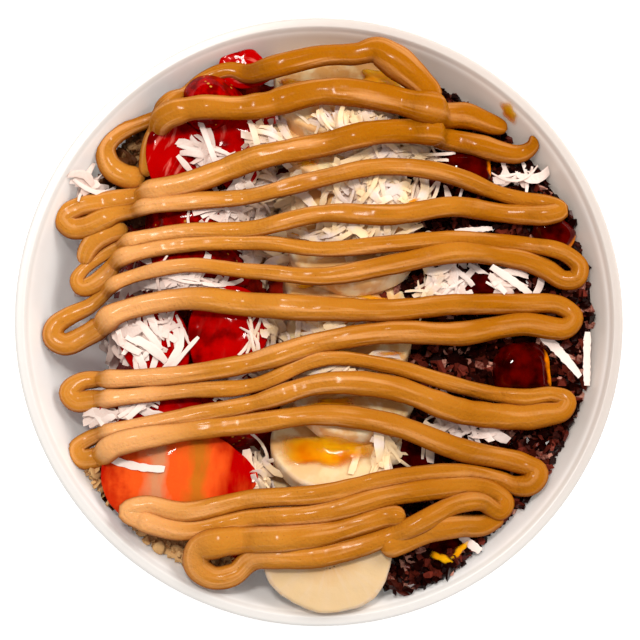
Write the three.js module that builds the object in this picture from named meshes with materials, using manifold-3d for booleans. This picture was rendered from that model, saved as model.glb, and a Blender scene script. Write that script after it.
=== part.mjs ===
// An acai bowl: a round white bowl filled with acai, topped with rows of strawberry,
// banana and cacao nibs, shredded coconut and a long zigzag of peanut butter.
// Millimetres, +Z up, origin at the middle of the bowl's underside.
import * as THREE from 'three';
import { mergeVertices } from 'three/addons/utils/BufferGeometryUtils.js';
import Module from 'manifold-3d';

const wasm = await Module();
wasm.setup();

// ---------------------------------------------------------------- driving dimensions
const BOWL_HEIGHT = 58;
const LIP_RADIUS = 80;          // outermost radius of the rolled lip
const LIP_HEIGHT = 3.6;
const INNER_RIM_RADIUS = 77;
const INNER_FLOOR_RADIUS = 42;
const FLOOR_THICKNESS = 3;
const WALL_THICKNESS = 1.3;
const WALL_CURVE = 0.66;        // under 1, the wall grows steeper towards the rim
const WALL_FOOT = 0.6;          // height of the round between floor and wall
const WALL_STEPS = 4;
const BOWL_SIDES = 28;
const LIP_ROLL = 0.9;           // roundness of the lip's edges
const GAP = 0.3;                // clearance between pieces that touch
const SLIVER = 0.12;            // cuts leave edges shorter than this, which are closed up

const ACAI_LEVEL = 43.2;        // under the strawberries and the cacao nibs
const ACAI_UNEVENNESS = 0.5;
const BANANA_BED_DEPTH = 7;     // the bananas sink deeper into the acai
const BANANA_BED_LEFT = -14;
const BANANA_BED_RIGHT = 29;
const LEFT_HOLLOW_DEPTH = 9;    // the acai falls away beside the strawberries
const LEFT_PIT_DEPTH = 24;      // and further between the granola heaps, to the bare wall
const ACAI_RINGS = 6;
const ACAI_SIDES = 22;

const STRAWBERRY_TOP = 57;      // highest level of each kind of topping
const BANANA_TOP = 60.2;
const NIB_LEVEL = 48.6;
const NIB_BANK = 3.2;           // the nibs bank up against the wall
const GRANOLA_BOTTOM = 34;      // the granola reaches down beside the acai
const WALL_REST_LEVEL = 50;     // where the peanut butter's turns lie on the wall

// ---------------------------------------------------------------- small helpers
const smooth = (from, to, value) => {
  const t = Math.min(Math.max((value - from) / (to - from), 0), 1);
  return t * t * (3 - 2 * t);
};

// A gentle unevenness between -1 and 1, the same on every run.
const uneven = (x, y, wave) =>
  (Math.sin(x / wave + 1.3 * Math.cos(y / wave)) + Math.sin(1.7 * y / wave - 0.6 * x / wave)) / 2;

const wallRadius = (z) => {
  const rise = Math.max(z - FLOOR_THICKNESS, 0) / (BOWL_HEIGHT - FLOOR_THICKNESS);
  const span = INNER_RIM_RADIUS - INNER_FLOOR_RADIUS;
  return INNER_FLOOR_RADIUS + span * Math.pow(Math.min(rise, 1), WALL_CURVE);
};

function bare(geometry) {
  geometry.deleteAttribute('normal');
  geometry.deleteAttribute('uv');
  return mergeVertices(geometry, 1e-4);
}

// Moves every vertex of a geometry by a function of its place.
function shaped(geometry, move) {
  const merged = bare(geometry);
  const places = merged.attributes.position;
  const place = new THREE.Vector3();
  for (let i = 0; i < places.count; i++) {
    place.fromBufferAttribute(places, i);
    move(place);
    places.setXYZ(i, place.x, place.y, place.z);
  }
  return merged;
}

function toSolid(geometry) {
  const merged = geometry.attributes.normal ? bare(geometry) : geometry;
  const vertProperties = new Float32Array(merged.attributes.position.array);
  const triVerts = new Uint32Array(merged.index.array);
  return new wasm.Manifold(new wasm.Mesh({ numProp: 3, vertProperties, triVerts }));
}

function toGeometry(solid) {
  const mesh = solid.getMesh();
  const places = new Float32Array(mesh.vertProperties);
  const geometry = new THREE.BufferGeometry();
  geometry.setAttribute('position', new THREE.BufferAttribute(places, 3));
  geometry.setIndex(new THREE.BufferAttribute(new Uint32Array(mesh.triVerts), 1));
  return geometry;
}

// Sets of vertices that are joined pair by pair.
function vertexSets(count) {
  const parent = Array.from({ length: count }, (_, i) => i);
  const rootOf = (i) => {
    let top = i;
    while (parent[top] !== top) top = parent[top];
    parent[i] = top;
    return top;
  };
  const join = (i, k) => {
    parent[rootOf(k)] = rootOf(i);
  };
  return { rootOf, join };
}

function trianglesOf(geometry) {
  const index = geometry.index.array;
  return Array.from({ length: index.length / 3 }, (_, t) => [...index.slice(3 * t, 3 * t + 3)]);
}

// Closes up the very short edges that cuts leave, and drops the triangles this flattens.
function withoutSlivers(geometry) {
  const merged = mergeVertices(geometry, 1e-5);
  const places = merged.attributes.position;
  const placeOf = (i) => new THREE.Vector3().fromBufferAttribute(places, i);
  const sets = vertexSets(places.count);
  const triangles = trianglesOf(merged);
  triangles.forEach(([a, b, c]) => {
    [[a, b], [b, c], [c, a]].forEach(([one, two]) => {
      if (placeOf(one).distanceTo(placeOf(two)) < SLIVER) sets.join(one, two);
    });
  });
  const closed = triangles.map((corners) => corners.map(sets.rootOf));
  const kept = closed.filter(([a, b, c]) => a !== b && b !== c && c !== a);
  merged.setIndex(kept.flat());
  return merged;
}

function volumeUnder(places, corners) {
  const [p, q, r] = corners.map((i) => new THREE.Vector3().fromBufferAttribute(places, i));
  return p.dot(q.cross(r)) / 6;
}

// A cut can leave crumbs beside the piece: only its largest connected body is kept.
function largestBody(geometry) {
  const merged = withoutSlivers(geometry);
  const places = merged.attributes.position;
  const sets = vertexSets(places.count);
  const triangles = trianglesOf(merged);
  triangles.forEach(([a, b, c]) => {
    sets.join(a, b);
    sets.join(a, c);
  });
  const volumes = new Map();
  triangles.forEach((corners) => {
    const root = sets.rootOf(corners[0]);
    volumes.set(root, (volumes.get(root) ?? 0) + volumeUnder(places, corners));
  });
  const [keeper] = [...volumes].sort((one, two) => two[1] - one[1])[0];
  merged.setIndex(triangles.filter(([a]) => sets.rootOf(a) === keeper).flat());
  return merged;
}

// ---------------------------------------------------------------- the object and its nodes
const acaiBowl = new THREE.Group();
const heaps = new THREE.Group();
const fruit = new THREE.Group();
const sauce = new THREE.Group();
acaiBowl.add(heaps, fruit, sauce);

function finish(color, roughness) {
  return new THREE.MeshStandardMaterial({ color, roughness, metalness: 0 });
}

const FINISHES = {
  bowl: finish(0xf1eeec, 0.35),
  acai: finish(0x2b1420, 0.5),
  strawberry: finish(0xb5121b, 0.25),
  banana: finish(0xf0d9ac, 0.4),
  glazedFruit: finish(0x5e120f, 0.15),
  cacao: finish(0x2a1612, 0.6),
  coconut: finish(0xe9e2e0, 0.7),
  granola: finish(0xc9a06a, 0.8),
  peanutButter: finish(0xc68238, 0.25),
};

function addNode(group, name, geometry, material) {
  const box = new THREE.Box3().setFromBufferAttribute(geometry.attributes.position);
  const centre = box.getCenter(new THREE.Vector3());
  geometry.translate(-centre.x, -centre.y, -centre.z);
  const mesh = new THREE.Mesh(geometry, material);
  mesh.name = name;
  mesh.position.copy(centre);
  group.add(mesh);
}

// ---------------------------------------------------------------- the bowl
function lathe(profile, sides) {
  const points = profile.map(([radius, height]) => new THREE.Vector2(radius, height));
  return bare(new THREE.LatheGeometry(points, sides)).rotateX(Math.PI / 2);
}

// Points up the wall, at heights shared by every surface that follows it.
function wallProfile(outward, raised, top) {
  const foot = FLOOR_THICKNESS + WALL_FOOT;
  return Array.from({ length: WALL_STEPS }, (_, i) => {
    const z = foot + (BOWL_HEIGHT - LIP_ROLL - foot) * i / (WALL_STEPS - 1);
    return [wallRadius(z) + outward, z + raised];
  }).filter(([, z]) => z < top);
}

function bowlGeometry() {
  const under = BOWL_HEIGHT - LIP_HEIGHT;
  const lip = [
    [wallRadius(under) + WALL_THICKNESS, under],
    [LIP_RADIUS - LIP_ROLL, under],
    [LIP_RADIUS, under + LIP_ROLL],
    [LIP_RADIUS, BOWL_HEIGHT - LIP_ROLL],
    [LIP_RADIUS - LIP_ROLL, BOWL_HEIGHT],
    [INNER_RIM_RADIUS + LIP_ROLL / 2, BOWL_HEIGHT],
  ];
  return lathe([
    [0, 0],
    [INNER_FLOOR_RADIUS + WALL_THICKNESS - 1, 0],
    ...wallProfile(WALL_THICKNESS, 0, under),
    ...lip,
    ...wallProfile(0, 0, BOWL_HEIGHT).reverse(),
    [INNER_FLOOR_RADIUS - 1, FLOOR_THICKNESS],
    [0, FLOOR_THICKNESS],
  ], BOWL_SIDES);
}

// The room inside the bowl, a gap smaller, carried straight up above the rim.
function insideOfBowl() {
  const ceiling = BOWL_HEIGHT + 40;
  const shell = lathe([
    [0, FLOOR_THICKNESS + GAP],
    [INNER_FLOOR_RADIUS - 1 - GAP, FLOOR_THICKNESS + GAP],
    ...wallProfile(-GAP, GAP / 2, BOWL_HEIGHT),
    [INNER_RIM_RADIUS - GAP, ceiling],
    [0, ceiling],
  ], BOWL_SIDES);
  return toSolid(shell);
}

const inside = insideOfBowl();
addNode(acaiBowl, 'bowl', bowlGeometry(), FINISHES.bowl);

// ---------------------------------------------------------------- fitting the pieces together
let taken = null;

// Cuts a piece to the room left inside the bowl, then adds it, a gap larger, to what is taken.
function settle(group, name, make, material) {
  let solid = inside.intersect(make(0));
  if (taken) solid = solid.subtract(taken);
  addNode(group, name, largestBody(toGeometry(solid)), material);
  const grown = make(GAP);
  taken = taken ? taken.add(grown) : grown;
}

// ---------------------------------------------------------------- acai
function acaiTop(x, y) {
  const rightOfBed = smooth(BANANA_BED_RIGHT, BANANA_BED_RIGHT + 5, x);
  const bed = smooth(BANANA_BED_LEFT - 5, BANANA_BED_LEFT, x) * (1 - rightOfBed);
  const hollow = 1 - smooth(-66, -54, x);
  const pit = (1 - smooth(-58, -50, x)) * smooth(-46, -40, y) * (1 - smooth(22, 28, y));
  const level = ACAI_LEVEL - BANANA_BED_DEPTH * bed - LEFT_HOLLOW_DEPTH * hollow - LEFT_PIT_DEPTH * pit;
  return level + ACAI_UNEVENNESS * uneven(x, y, 9);
}

// A round disc of rings whose upper side follows the acai's surface.
function acaiSolid(grow) {
  const rings = Array.from({ length: ACAI_RINGS }, (_, i) => [LIP_RADIUS * (i + 1) / ACAI_RINGS, 1]);
  const disc = lathe([[0, 0], [LIP_RADIUS, 0], ...rings.reverse(), [0, 1]], ACAI_SIDES);
  return toSolid(shaped(disc, (place) => {
    if (place.z > 0.5) place.z = acaiTop(place.x, place.y) + grow;
  }));
}

settle(acaiBowl, 'acai', acaiSolid, FINISHES.acai);

// ---------------------------------------------------------------- banana slices
const BANANA_LEAN = 31;         // degrees
const BANANA_THICKNESS = 6.6;
const BANANA_ROUND = 1.1;       // roundness of a slice's edges
const BANANA_OVAL = 0.93;       // a slice is a little narrower down the row than across it
const BANANA_SIDES = 12;
const BANANA_PITCH = (BANANA_THICKNESS + GAP) / Math.sin(THREE.MathUtils.degToRad(BANANA_LEAN));
const BANANA_FIRST_Y = 62;
// Of each slice down the row: its middle across the row, its width and its turn. The last
// slice lies flat, out to the wall, and the one before leans less, under its edge.
const BANANA_ROW = [
  { x: 5, width: 36, turn: 6 },
  { x: 6, width: 35, turn: -8 },
  { x: 13, width: 34, turn: 5 },
  { x: 9, width: 36, turn: 9 },
  { x: 8, width: 35, turn: -6 },
  { x: 8, width: 34, turn: 4 },
  { x: 9, width: 34, turn: -7 },
  { x: 4, width: 35, turn: 6 },
  { x: 3, y: -46.2, top: 53.3, lean: 22, width: 35, turn: -3 },
  { x: 1.6, y: -60.9, top: 60.4, lean: 0, width: 33.6, turn: 4 },
];

function bananaSlice(spec, grow) {
  const radius = spec.width / 2 + grow;
  const half = BANANA_THICKNESS / 2 + grow;
  const disc = lathe([
    [0, -half],
    [radius - BANANA_ROUND, -half],
    [radius, -half + BANANA_ROUND],
    [radius, half - BANANA_ROUND],
    [radius - BANANA_ROUND, half],
    [0, half],
  ], BANANA_SIDES);
  disc.scale(1, BANANA_OVAL, 1);
  disc.rotateX(-spec.lean);
  disc.rotateZ(THREE.MathUtils.degToRad(spec.turn));
  disc.translate(spec.x, spec.y, spec.z);
  return toSolid(disc);
}

BANANA_ROW.forEach((spec, i) => {
  spec.lean = THREE.MathUtils.degToRad(spec.lean ?? BANANA_LEAN);
  spec.y ??= BANANA_FIRST_Y - i * BANANA_PITCH;
  const reach = spec.width / 2 * BANANA_OVAL;
  const drop = reach * Math.sin(spec.lean) + BANANA_THICKNESS / 2 * Math.cos(spec.lean);
  spec.z = (spec.top ?? BANANA_TOP) - drop;
  settle(fruit, `banana_${i + 1}`, (grow) => bananaSlice(spec, grow), FINISHES.banana);
});

// ---------------------------------------------------------------- strawberries
const FACE_CROWN = 0.09;        // how far a cut face bulges, as a share of the depth under it

// A strawberry cut in half: an ovoid pointed at -Y, its cut face up. Dimensions are the
// length, the width across the shoulders and the depth under the face.
function halfStrawberry(spec, grow) {
  const [length, width, depth] = spec.size;
  const berry = shaped(new THREE.SphereGeometry(1, 10, 6), (place) => {
    const taper = 1 + 0.3 * place.y - 0.14 * place.y * place.y;
    place.x *= (width / 2 + grow) * taper;
    place.z *= (place.z > 0 ? FACE_CROWN : 1) * (depth + grow) * taper;
    if (place.z > 0) place.z += grow;
    place.y *= length / 2 + grow;
  });
  const [lean, roll, turn] = spec.angles.map(THREE.MathUtils.degToRad);
  berry.rotateY(roll);
  berry.rotateX(lean);
  berry.rotateZ(turn);
  berry.translate(...spec.at);
  return toSolid(berry);
}

// Of each: the middle of its cut face, its size, and its lean, roll and turn in degrees.
const FACE_DOWN = 180;
const STRAWBERRIES = [
  { at: [-37, -41, STRAWBERRY_TOP - 1.6], size: [41, 27, 12.5], angles: [2, 4, 88] },
  { at: [-43, -24, STRAWBERRY_TOP - 2.4], size: [30, 20, 11], angles: [3, 5, 84] },
  { at: [-23, -24, STRAWBERRY_TOP - 12.5], size: [24, 22, 12], angles: [0, FACE_DOWN, 70] },
  { at: [-25, -6, STRAWBERRY_TOP - 1.8], size: [30, 21, 12], angles: [0, -5, -12] },
  { at: [-43, -8, STRAWBERRY_TOP - 3], size: [26, 18, 10], angles: [0, 8, 20] },
  { at: [-34, 14, STRAWBERRY_TOP - 12.5], size: [32, 22, 12], angles: [0, FACE_DOWN, 80] },
  { at: [-32, 27, STRAWBERRY_TOP - 12.6], size: [30, 21, 12], angles: [0, FACE_DOWN, 96] },
  { at: [-39.4, 43.4, STRAWBERRY_TOP - 2.4], size: [18.5, 14.5, 9.5], angles: [2, 12, -24] },
  { at: [-23, 46, STRAWBERRY_TOP - 2.6], size: [25, 19, 11], angles: [0, -8, 5] },
  { at: [-28, 57.3, STRAWBERRY_TOP - 8], size: [19, 15.5, 12], angles: [0, FACE_DOWN, 84] },
  { at: [-19.8, 67, STRAWBERRY_TOP - 4.4], size: [15, 11, 8], angles: [4, 0, 78] },
];

STRAWBERRIES.forEach((spec, i) => {
  settle(fruit, `strawberry_${i + 1}`, (grow) => halfStrawberry(spec, grow), FINISHES.strawberry);
});

// ---------------------------------------------------------------- dark glazed fruit among the nibs
// Pieces of dark fruit with a soft knobbly skin: the middle, the half sizes and the turn.
const GLAZED_FRUIT = [
  { at: [39, 41, 48], half: [7.5, 5.5, 5], turn: 8 },
  { at: [63, 23.5, 49], half: [6, 4.6, 4.6], turn: -35 },
  { at: [43, 9.5, 48], half: [7, 5.2, 5], turn: 12 },
  { at: [54.5, -13.5, 47.6], half: [8, 8.4, 5.4], turn: 4 },
  { at: [26, -36, 49], half: [9, 6.5, 5.5], turn: -14 },
  { at: [33, -61.5, 49.4], half: [7, 5.5, 4.6], turn: 20 },
];

function glazedPiece(spec, grow) {
  const [halfX, halfY, halfZ] = spec.half;
  const piece = shaped(new THREE.SphereGeometry(1, 9, 6), (place) => {
    const bulge = 1 + 0.06 * uneven(place.x, place.y + place.z, 0.35);
    place.x *= halfX * bulge + grow;
    place.y *= halfY * bulge + grow;
    place.z *= halfZ * bulge + grow;
  });
  piece.rotateZ(THREE.MathUtils.degToRad(spec.turn));
  piece.translate(...spec.at);
  return toSolid(piece);
}

GLAZED_FRUIT.forEach((spec, i) => {
  settle(fruit, `glazed_fruit_${i + 1}`, (grow) => glazedPiece(spec, grow), FINISHES.glazedFruit);
});

// ---------------------------------------------------------------- heaps of small things
// A block whose upper side follows a height function, cut to shape by its neighbours.
function heapSolid(heap, grow) {
  const { from, to, steps, top } = heap;
  const width = to[0] - from[0];
  const depth = to[1] - from[1];
  const block = new THREE.BoxGeometry(width, depth, 1, steps[0], steps[1], 1);
  return toSolid(shaped(block, (place) => {
    place.x += (from[0] + to[0]) / 2;
    place.y += (from[1] + to[1]) / 2;
    place.z = place.z < 0 ? heap.bottom : Math.max(top(place.x, place.y) + grow, heap.bottom + 0.1);
  }));
}

const bank = (x, y) => smooth(64, 75, Math.hypot(x, y));

// Down the right of the bananas the nibs fall away steeply at the top of the bowl, and
// gently from the middle on.
const STEEP_FALL = 33.5;
const GENTLE_FALL = 15;
const gentle = (y) => 1 - smooth(36, 47, y);
const NIB_SHOULDER = 5;         // the nibs stand higher against the bananas
const nibTop = (x, y) => NIB_LEVEL
  + NIB_SHOULDER * gentle(y) * (1 - smooth(30, STEEP_FALL + GENTLE_FALL, x))
  + NIB_BANK * bank(x, y)
  + 0.9 * uneven(x, y, 3.1);

const NIB_HEAP = {
  from: [17, -70.5],
  to: [78, 70],
  steps: [5, 10],
  bottom: ACAI_LEVEL + ACAI_UNEVENNESS + GAP,
  top: nibTop,
};
const LOWER_GRANOLA = {
  from: [-68, -76],
  to: [-24, -38],
  steps: [6, 4],
  bottom: GRANOLA_BOTTOM,
  top: (x, y) => 47.5 + 3 * bank(x, y) + 0.8 * uneven(x, y, 2.7),
};
const UPPER_GRANOLA = {
  from: [-70, 26],
  to: [-44, 56],
  steps: [3, 4],
  bottom: GRANOLA_BOTTOM,
  top: (x, y) => 45.5 + 2 * bank(x, y) + 0.8 * uneven(x, y, 2.9),
};

settle(heaps, 'cacao_nibs', (grow) => heapSolid(NIB_HEAP, grow), FINISHES.cacao);
settle(heaps, 'granola_lower', (grow) => heapSolid(LOWER_GRANOLA, grow), FINISHES.granola);
settle(heaps, 'granola_upper', (grow) => heapSolid(UPPER_GRANOLA, grow), FINISHES.granola);

// Low tufts of shredded coconut lying on the fruit: the middle and the half sizes.
const COCONUT_TUFTS = [
  { at: [-49, -8, 54.6], half: [11, 6, 3.6] },
  { at: [14, 44.5, 57], half: [13, 4.5, 3.2] },
  { at: [13, 32.5, 56.5], half: [14, 4.6, 3.6] },
  { at: [33, 10, 51.5], half: [6, 5.5, 4] },
];

function coconutTuft(spec, grow) {
  const [halfX, halfY, halfZ] = spec.half;
  const tuft = shaped(new THREE.SphereGeometry(1, 9, 4), (place) => {
    const ragged = 1 + 0.14 * uneven(place.x * halfX, place.y * halfY, 1.9);
    place.x *= halfX * ragged + grow;
    place.y *= halfY * ragged + grow;
    place.z *= halfZ + grow;
  });
  tuft.translate(...spec.at);
  return toSolid(tuft);
}

COCONUT_TUFTS.forEach((spec, i) => {
  settle(heaps, `coconut_${i + 1}`, (grow) => coconutTuft(spec, grow), FINISHES.coconut);
});

// ---------------------------------------------------------------- peanut butter
// The level that the underside of a ribbon lies on: the wall at the far left, the
// strawberries, the bananas, then a fall to the cacao nibs on the right. It dips behind
// the strawberry that stands up near the top, and rises over it just below that.
const DOME_X = -28;
const DOME_RISE = 3.4;
function restingLevel(x, y) {
  const strawberryEdge = -56.6 + 14 * smooth(0, 50, y);
  const behindDome = 0.85 * smooth(57, 61, y) * (1 - smooth(-22, -13, x));
  const ontoFruit = smooth(strawberryEdge - 1, strawberryEdge + 1, x) * (1 - behindDome);
  const ontoDome = (1 - smooth(9, 16, Math.abs(x - DOME_X))) * smooth(48, 52, y) * (1 - smooth(57, 60, y));
  const ontoBanana = smooth(-22, -10, x);
  const offBanana = smooth(29, 32 + 17 * gentle(y), x);
  const ontoWall = smooth(60, 72, x);
  return WALL_REST_LEVEL
    + DOME_RISE * ontoDome
    + (STRAWBERRY_TOP + 0.6 - WALL_REST_LEVEL) * ontoFruit
    + (BANANA_TOP - STRAWBERRY_TOP - 0.1) * ontoBanana
    - (BANANA_TOP - NIB_LEVEL - 1.6) * offBanana
    + 1.2 * ontoWall;
}

// Each pass crosses the bowl: y at these stations in x, then the turn to the next pass.
const STATIONS = [-54, -36, -18, 0, 18, 36, 54];
const [LEFTWARD, RIGHTWARD] = [true, false];

function passRoute(pass) {
  const crossing = pass.y.map((y, i) => [STATIONS[i + (pass.first ?? 0)], y]);
  if (pass.way === LEFTWARD) crossing.reverse();
  return [...(pass.lead ?? []), ...crossing, ...(pass.turn ?? [])];
}

const TOP_STRAND = [
  { way: LEFTWARD, width: 6, first: 2, y: [65.6, 69.4],
    lead: [[27.5, 57.5], [28.6, 60.5], [26, 65], [22.5, 69], [18.5, 72]],
    turn: [[-24.5, 67], [-31.5, 64.6], [-37.5, 60], [-43, 55.4], [-54, 49.8], [-57.4, 45.8], [-56.3, 41.1],
      [-52.4, 38.5], [-47, 38]] },
];
const SECOND_STRAND = [
  { way: RIGHTWARD, width: 6.4, first: 1, y: [54.5, 55.5, 59.7, 57.9],
    lead: [[-45.4, 46.5], [-42.4, 52]], turn: [[29, 55], [38.8, 55.5], [46.6, 53.2], [50.8, 52.1]] },
];
const LONG_STRAND = [
  { way: LEFTWARD, width: 5.2, y: [32, 35.5, 41.9, 45.6, 49.3, 48.6, 45.3], lead: [[57.6, 50.4], [57.4, 47.4]],
    turn: [[-65, 29.8], [-68.6, 27.3], [-66.6, 24.6], [-62.5, 24.6], [-57.5, 26.8]] },
  { way: RIGHTWARD, width: 4.6, y: [28.2, 30.7, 32.5, 36.9, 40.1, 37.9, 33],
    turn: [[62, 31.4], [64.4, 29.6], [60.5, 28.4]] },
  { way: LEFTWARD, width: 4.1, y: [19.5, 23, 23.7, 27.5, 27.2, 29.9, 28.7],
    turn: [[-59.5, 16.5], [-63.5, 13], [-65.2, 10.3], [-63.2, 8], [-60, 8], [-57, 10.5]] },
  { way: RIGHTWARD, width: 4.3, y: [15.5, 19.4, 20, 18.2, 19.7, 21.2, 20.7],
    turn: [[66, 18.8], [70, 14.8], [69.4, 11], [66, 10.4], [61.5, 13.8]] },
  { way: LEFTWARD, width: 4.2, y: [9.4, 13.8, 12.4, 11, 14.1, 17.6, 16.4],
    turn: [[-61.6, 4.7], [-67.3, 2.1], [-71.4, -1.6], [-71.4, -5], [-68, -7], [-63, -5.5], [-58, -2.2]] },
  { way: RIGHTWARD, width: 5.8, y: [1.2, 5.1, 3.5, 2.4, 2.1, 3.9, 4.6],
    turn: [[64.5, 4.2], [68.2, 1], [66, -2]] },
  { way: LEFTWARD, width: 5.2, y: [-16, -14.7, -11.5, -6.3, -3.7, -3.9, -0.9],
    turn: [[-59.5, -16.2], [-63.6, -16.8], [-66.8, -19.7], [-64.8, -22.6], [-60.5, -22.6]] },
  { way: RIGHTWARD, width: 4.6, y: [-20.9, -19, -17.6, -10.7, -12.6, -17.6, -20.6],
    turn: [[62.5, -19.9], [66.2, -21.4], [64.8, -24.2], [59.5, -25.3]] },
  { way: LEFTWARD, width: 4.6, y: [-29.3, -25.7, -22.3, -17.2, -18.2, -24.2, -25.9],
    turn: [[-60.5, -30.8], [-65.2, -35], [-63, -38], [-58, -37.6]] },
  { way: RIGHTWARD, width: 5.4, y: [-33.2, -29.7, -27.5, -25.3, -27.8, -34.3, -38.3],
    turn: [[57.8, -40.6], [56, -43.8], [52, -44.2]] },
  { way: LEFTWARD, width: 4.9, first: 1, y: [-50.6, -47.2, -45.8, -41.7, -40.3],
    lead: [[48, -42.4]], turn: [[-46, -48.8], [-50.8, -50.4], [-46, -53]] },
  { way: RIGHTWARD, width: 5.1, first: 1, y: [-55.4, -52.4, -50.8, -46.3, -44.2],
    turn: [[45, -45.4], [49.2, -48.6], [47.4, -51]] },
  { way: LEFTWARD, width: 5.2, first: 2, y: [-62.8, -61.8, -56.6, -48.4],
    lead: [[42, -48.2]], turn: [[-23, -66.8], [-28.6, -67.6], [-32.6, -64.5], [-32, -60.2], [-27, -58.4]] },
  { way: RIGHTWARD, width: 5, first: 2, y: [-57.8, -56.3, -51.6], turn: [[21.5, -51.8]] },
];
const SHORT_LOBE = [
  { way: LEFTWARD, width: 6, first: 5, y: [-54.4], lead: [[48.5, -51.5], [43, -54.4]],
    turn: [[28, -55.3], [21.5, -58], [15, -60.3]] },
];

const RIBBON_STEP = 22;         // longest stretch of ribbon between two sections
const RIBBON_BEND = THREE.MathUtils.degToRad(72);   // and the most that it bends there
const RIBBON_SIDES = 5;
const RIBBON_FLATNESS = 0.86;
const RIBBON_TAPER = 0.55;      // of the section at each end of a pass
const RIBBON_JOIN = 0.55;       // a pass ends this far on the way to the next one's start

// Shares along a path where its sections stand, closer together where it bends.
function sectionsAlong(path) {
  const fine = Math.ceil(path.getLength());
  const step = path.getLength() / fine / RIBBON_STEP;
  const effort = [0];
  for (let i = 1; i <= fine; i++) {
    const bend = path.getTangentAt((i - 1) / fine).angleTo(path.getTangentAt(i / fine));
    effort.push(effort[i - 1] + step + bend / RIBBON_BEND);
  }
  const sections = Math.ceil(effort[fine]);
  return Array.from({ length: sections + 1 }, (_, k) => {
    const wanted = effort[fine] * k / sections;
    const after = Math.max(effort.findIndex((value) => value >= wanted - 1e-9), 1);
    const share = (wanted - effort[after - 1]) / (effort[after] - effort[after - 1]);
    return THREE.MathUtils.clamp((after - 1 + share) / fine, 0, 1);
  });
}

// One pass as a closed ribbon: a section carried along its route, tapered at both ends.
function ribbon(route, width) {
  const turns = route.map(([x, y]) => new THREE.Vector3(x, y, 0));
  const plan = new THREE.CatmullRomCurve3(turns, false, 'centripetal');
  const half = width / 2;
  const height = half * RIBBON_FLATNESS;
  const lifted = plan.getSpacedPoints(Math.ceil(plan.getLength())).map((place) => {
    place.z = restingLevel(place.x, place.y) + height;
    return place;
  });
  const path = new THREE.CatmullRomCurve3(lifted);
  const sections = sectionsAlong(path);
  const steps = sections.length - 1;
  const tube = new THREE.CylinderGeometry(1, 1, 1, RIBBON_SIDES, steps);
  return toSolid(shaped(tube, (place) => {
    const section = THREE.MathUtils.clamp(Math.round((place.y + 0.5) * steps), 0, steps);
    const along = sections[section];
    const middle = path.getPointAt(along);
    const tangent = path.getTangentAt(along);
    const side = new THREE.Vector3(tangent.y, -tangent.x, 0).normalize();
    const upward = new THREE.Vector3().crossVectors(side, tangent);
    const nearEnd = section === 0 || section === steps ? RIBBON_TAPER : 1;
    const across = place.x * half * nearEnd;
    const above = place.z * height * nearEnd;
    place.copy(middle).addScaledVector(side, across).addScaledVector(upward, above);
  }));
}

// The passes of a strand run into each other where they turn: each starts at the end of
// the last one's turn, which reaches some way past that.
function strandSolid(strand) {
  const routes = strand.map(passRoute);
  let solid = null;
  strand.forEach((pass, i) => {
    const route = [...routes[i]];
    if (i > 0) route.unshift(routes[i - 1].at(-1));
    if (i + 1 < routes.length) {
      const [[fromX, fromY], [toX, toY]] = [route.at(-1), routes[i + 1][0]];
      route.push([fromX + RIBBON_JOIN * (toX - fromX), fromY + RIBBON_JOIN * (toY - fromY)]);
    }
    const piece = ribbon(route, pass.width);
    solid = solid ? solid.add(piece) : piece;
  });
  return solid;
}

const STRANDS = [TOP_STRAND, SECOND_STRAND, LONG_STRAND, SHORT_LOBE];
STRANDS.forEach((strand, i) => {
  settle(sauce, `peanut_butter_${i + 1}`, () => strandSolid(strand), FINISHES.peanutButter);
});

export default acaiBowl;
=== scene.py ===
from itertools import product
from math import cos, pi, radians, sin

import bpy
import numpy as np
from mathutils import Matrix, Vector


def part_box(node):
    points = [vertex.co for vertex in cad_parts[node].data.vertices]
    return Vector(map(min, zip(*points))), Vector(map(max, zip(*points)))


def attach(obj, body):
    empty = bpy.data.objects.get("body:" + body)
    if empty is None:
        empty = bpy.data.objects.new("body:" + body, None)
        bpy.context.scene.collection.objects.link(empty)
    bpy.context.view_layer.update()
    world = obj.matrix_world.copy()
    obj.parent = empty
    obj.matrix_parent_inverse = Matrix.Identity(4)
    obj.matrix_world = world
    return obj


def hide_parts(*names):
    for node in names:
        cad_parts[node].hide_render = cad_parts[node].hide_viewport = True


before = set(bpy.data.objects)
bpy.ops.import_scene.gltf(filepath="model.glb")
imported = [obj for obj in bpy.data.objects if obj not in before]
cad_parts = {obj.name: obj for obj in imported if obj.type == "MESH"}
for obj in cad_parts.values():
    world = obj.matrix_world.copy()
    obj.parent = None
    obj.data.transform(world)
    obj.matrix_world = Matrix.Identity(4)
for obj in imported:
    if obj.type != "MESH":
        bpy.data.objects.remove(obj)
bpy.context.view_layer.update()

bl_info = {
    "name": "Acai bowl",
    "version": (1, 0, 0),
    "blender": (4, 5, 0),
    "location": "View3D > Sidebar > Acai bowl",
    "description": "A bowl of acai with fruit, cacao nibs, coconut and peanut butter",
    "category": "Add Mesh",
}

# All lengths below are millimetres, unless a name says metres.
MM = 0.001


def box_mm(node):
    """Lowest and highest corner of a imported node, in millimetres."""
    low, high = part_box(node)
    return np.array(low) / MM, np.array(high) / MM


# ---------------------------------------------------------------- measures of the bowl
LIP_RADIUS = box_mm("bowl")[1][0]
BOWL_HEIGHT = box_mm("bowl")[1][2]
INNER_RIM_RADIUS = LIP_RADIUS - 3
INNER_FLOOR_RADIUS = 42
FLOOR_THICKNESS = 3
WALL_THICKNESS = 1.3
WALL_CURVE = 0.66
LIP_HEIGHT = 3.6                # of the lip's outer edge
LIP_ROLL = 0.9                  # radius of its two outer corners
BEAD_RADIUS = 0.6               # of the lip's inner bead
FOOT_INSET = 1                  # how far inside the wall's outside the foot stands
FOOT_WIDTH = 7.6
FOOT_RECESS = 0.7               # how far the underside lies above the foot
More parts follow.
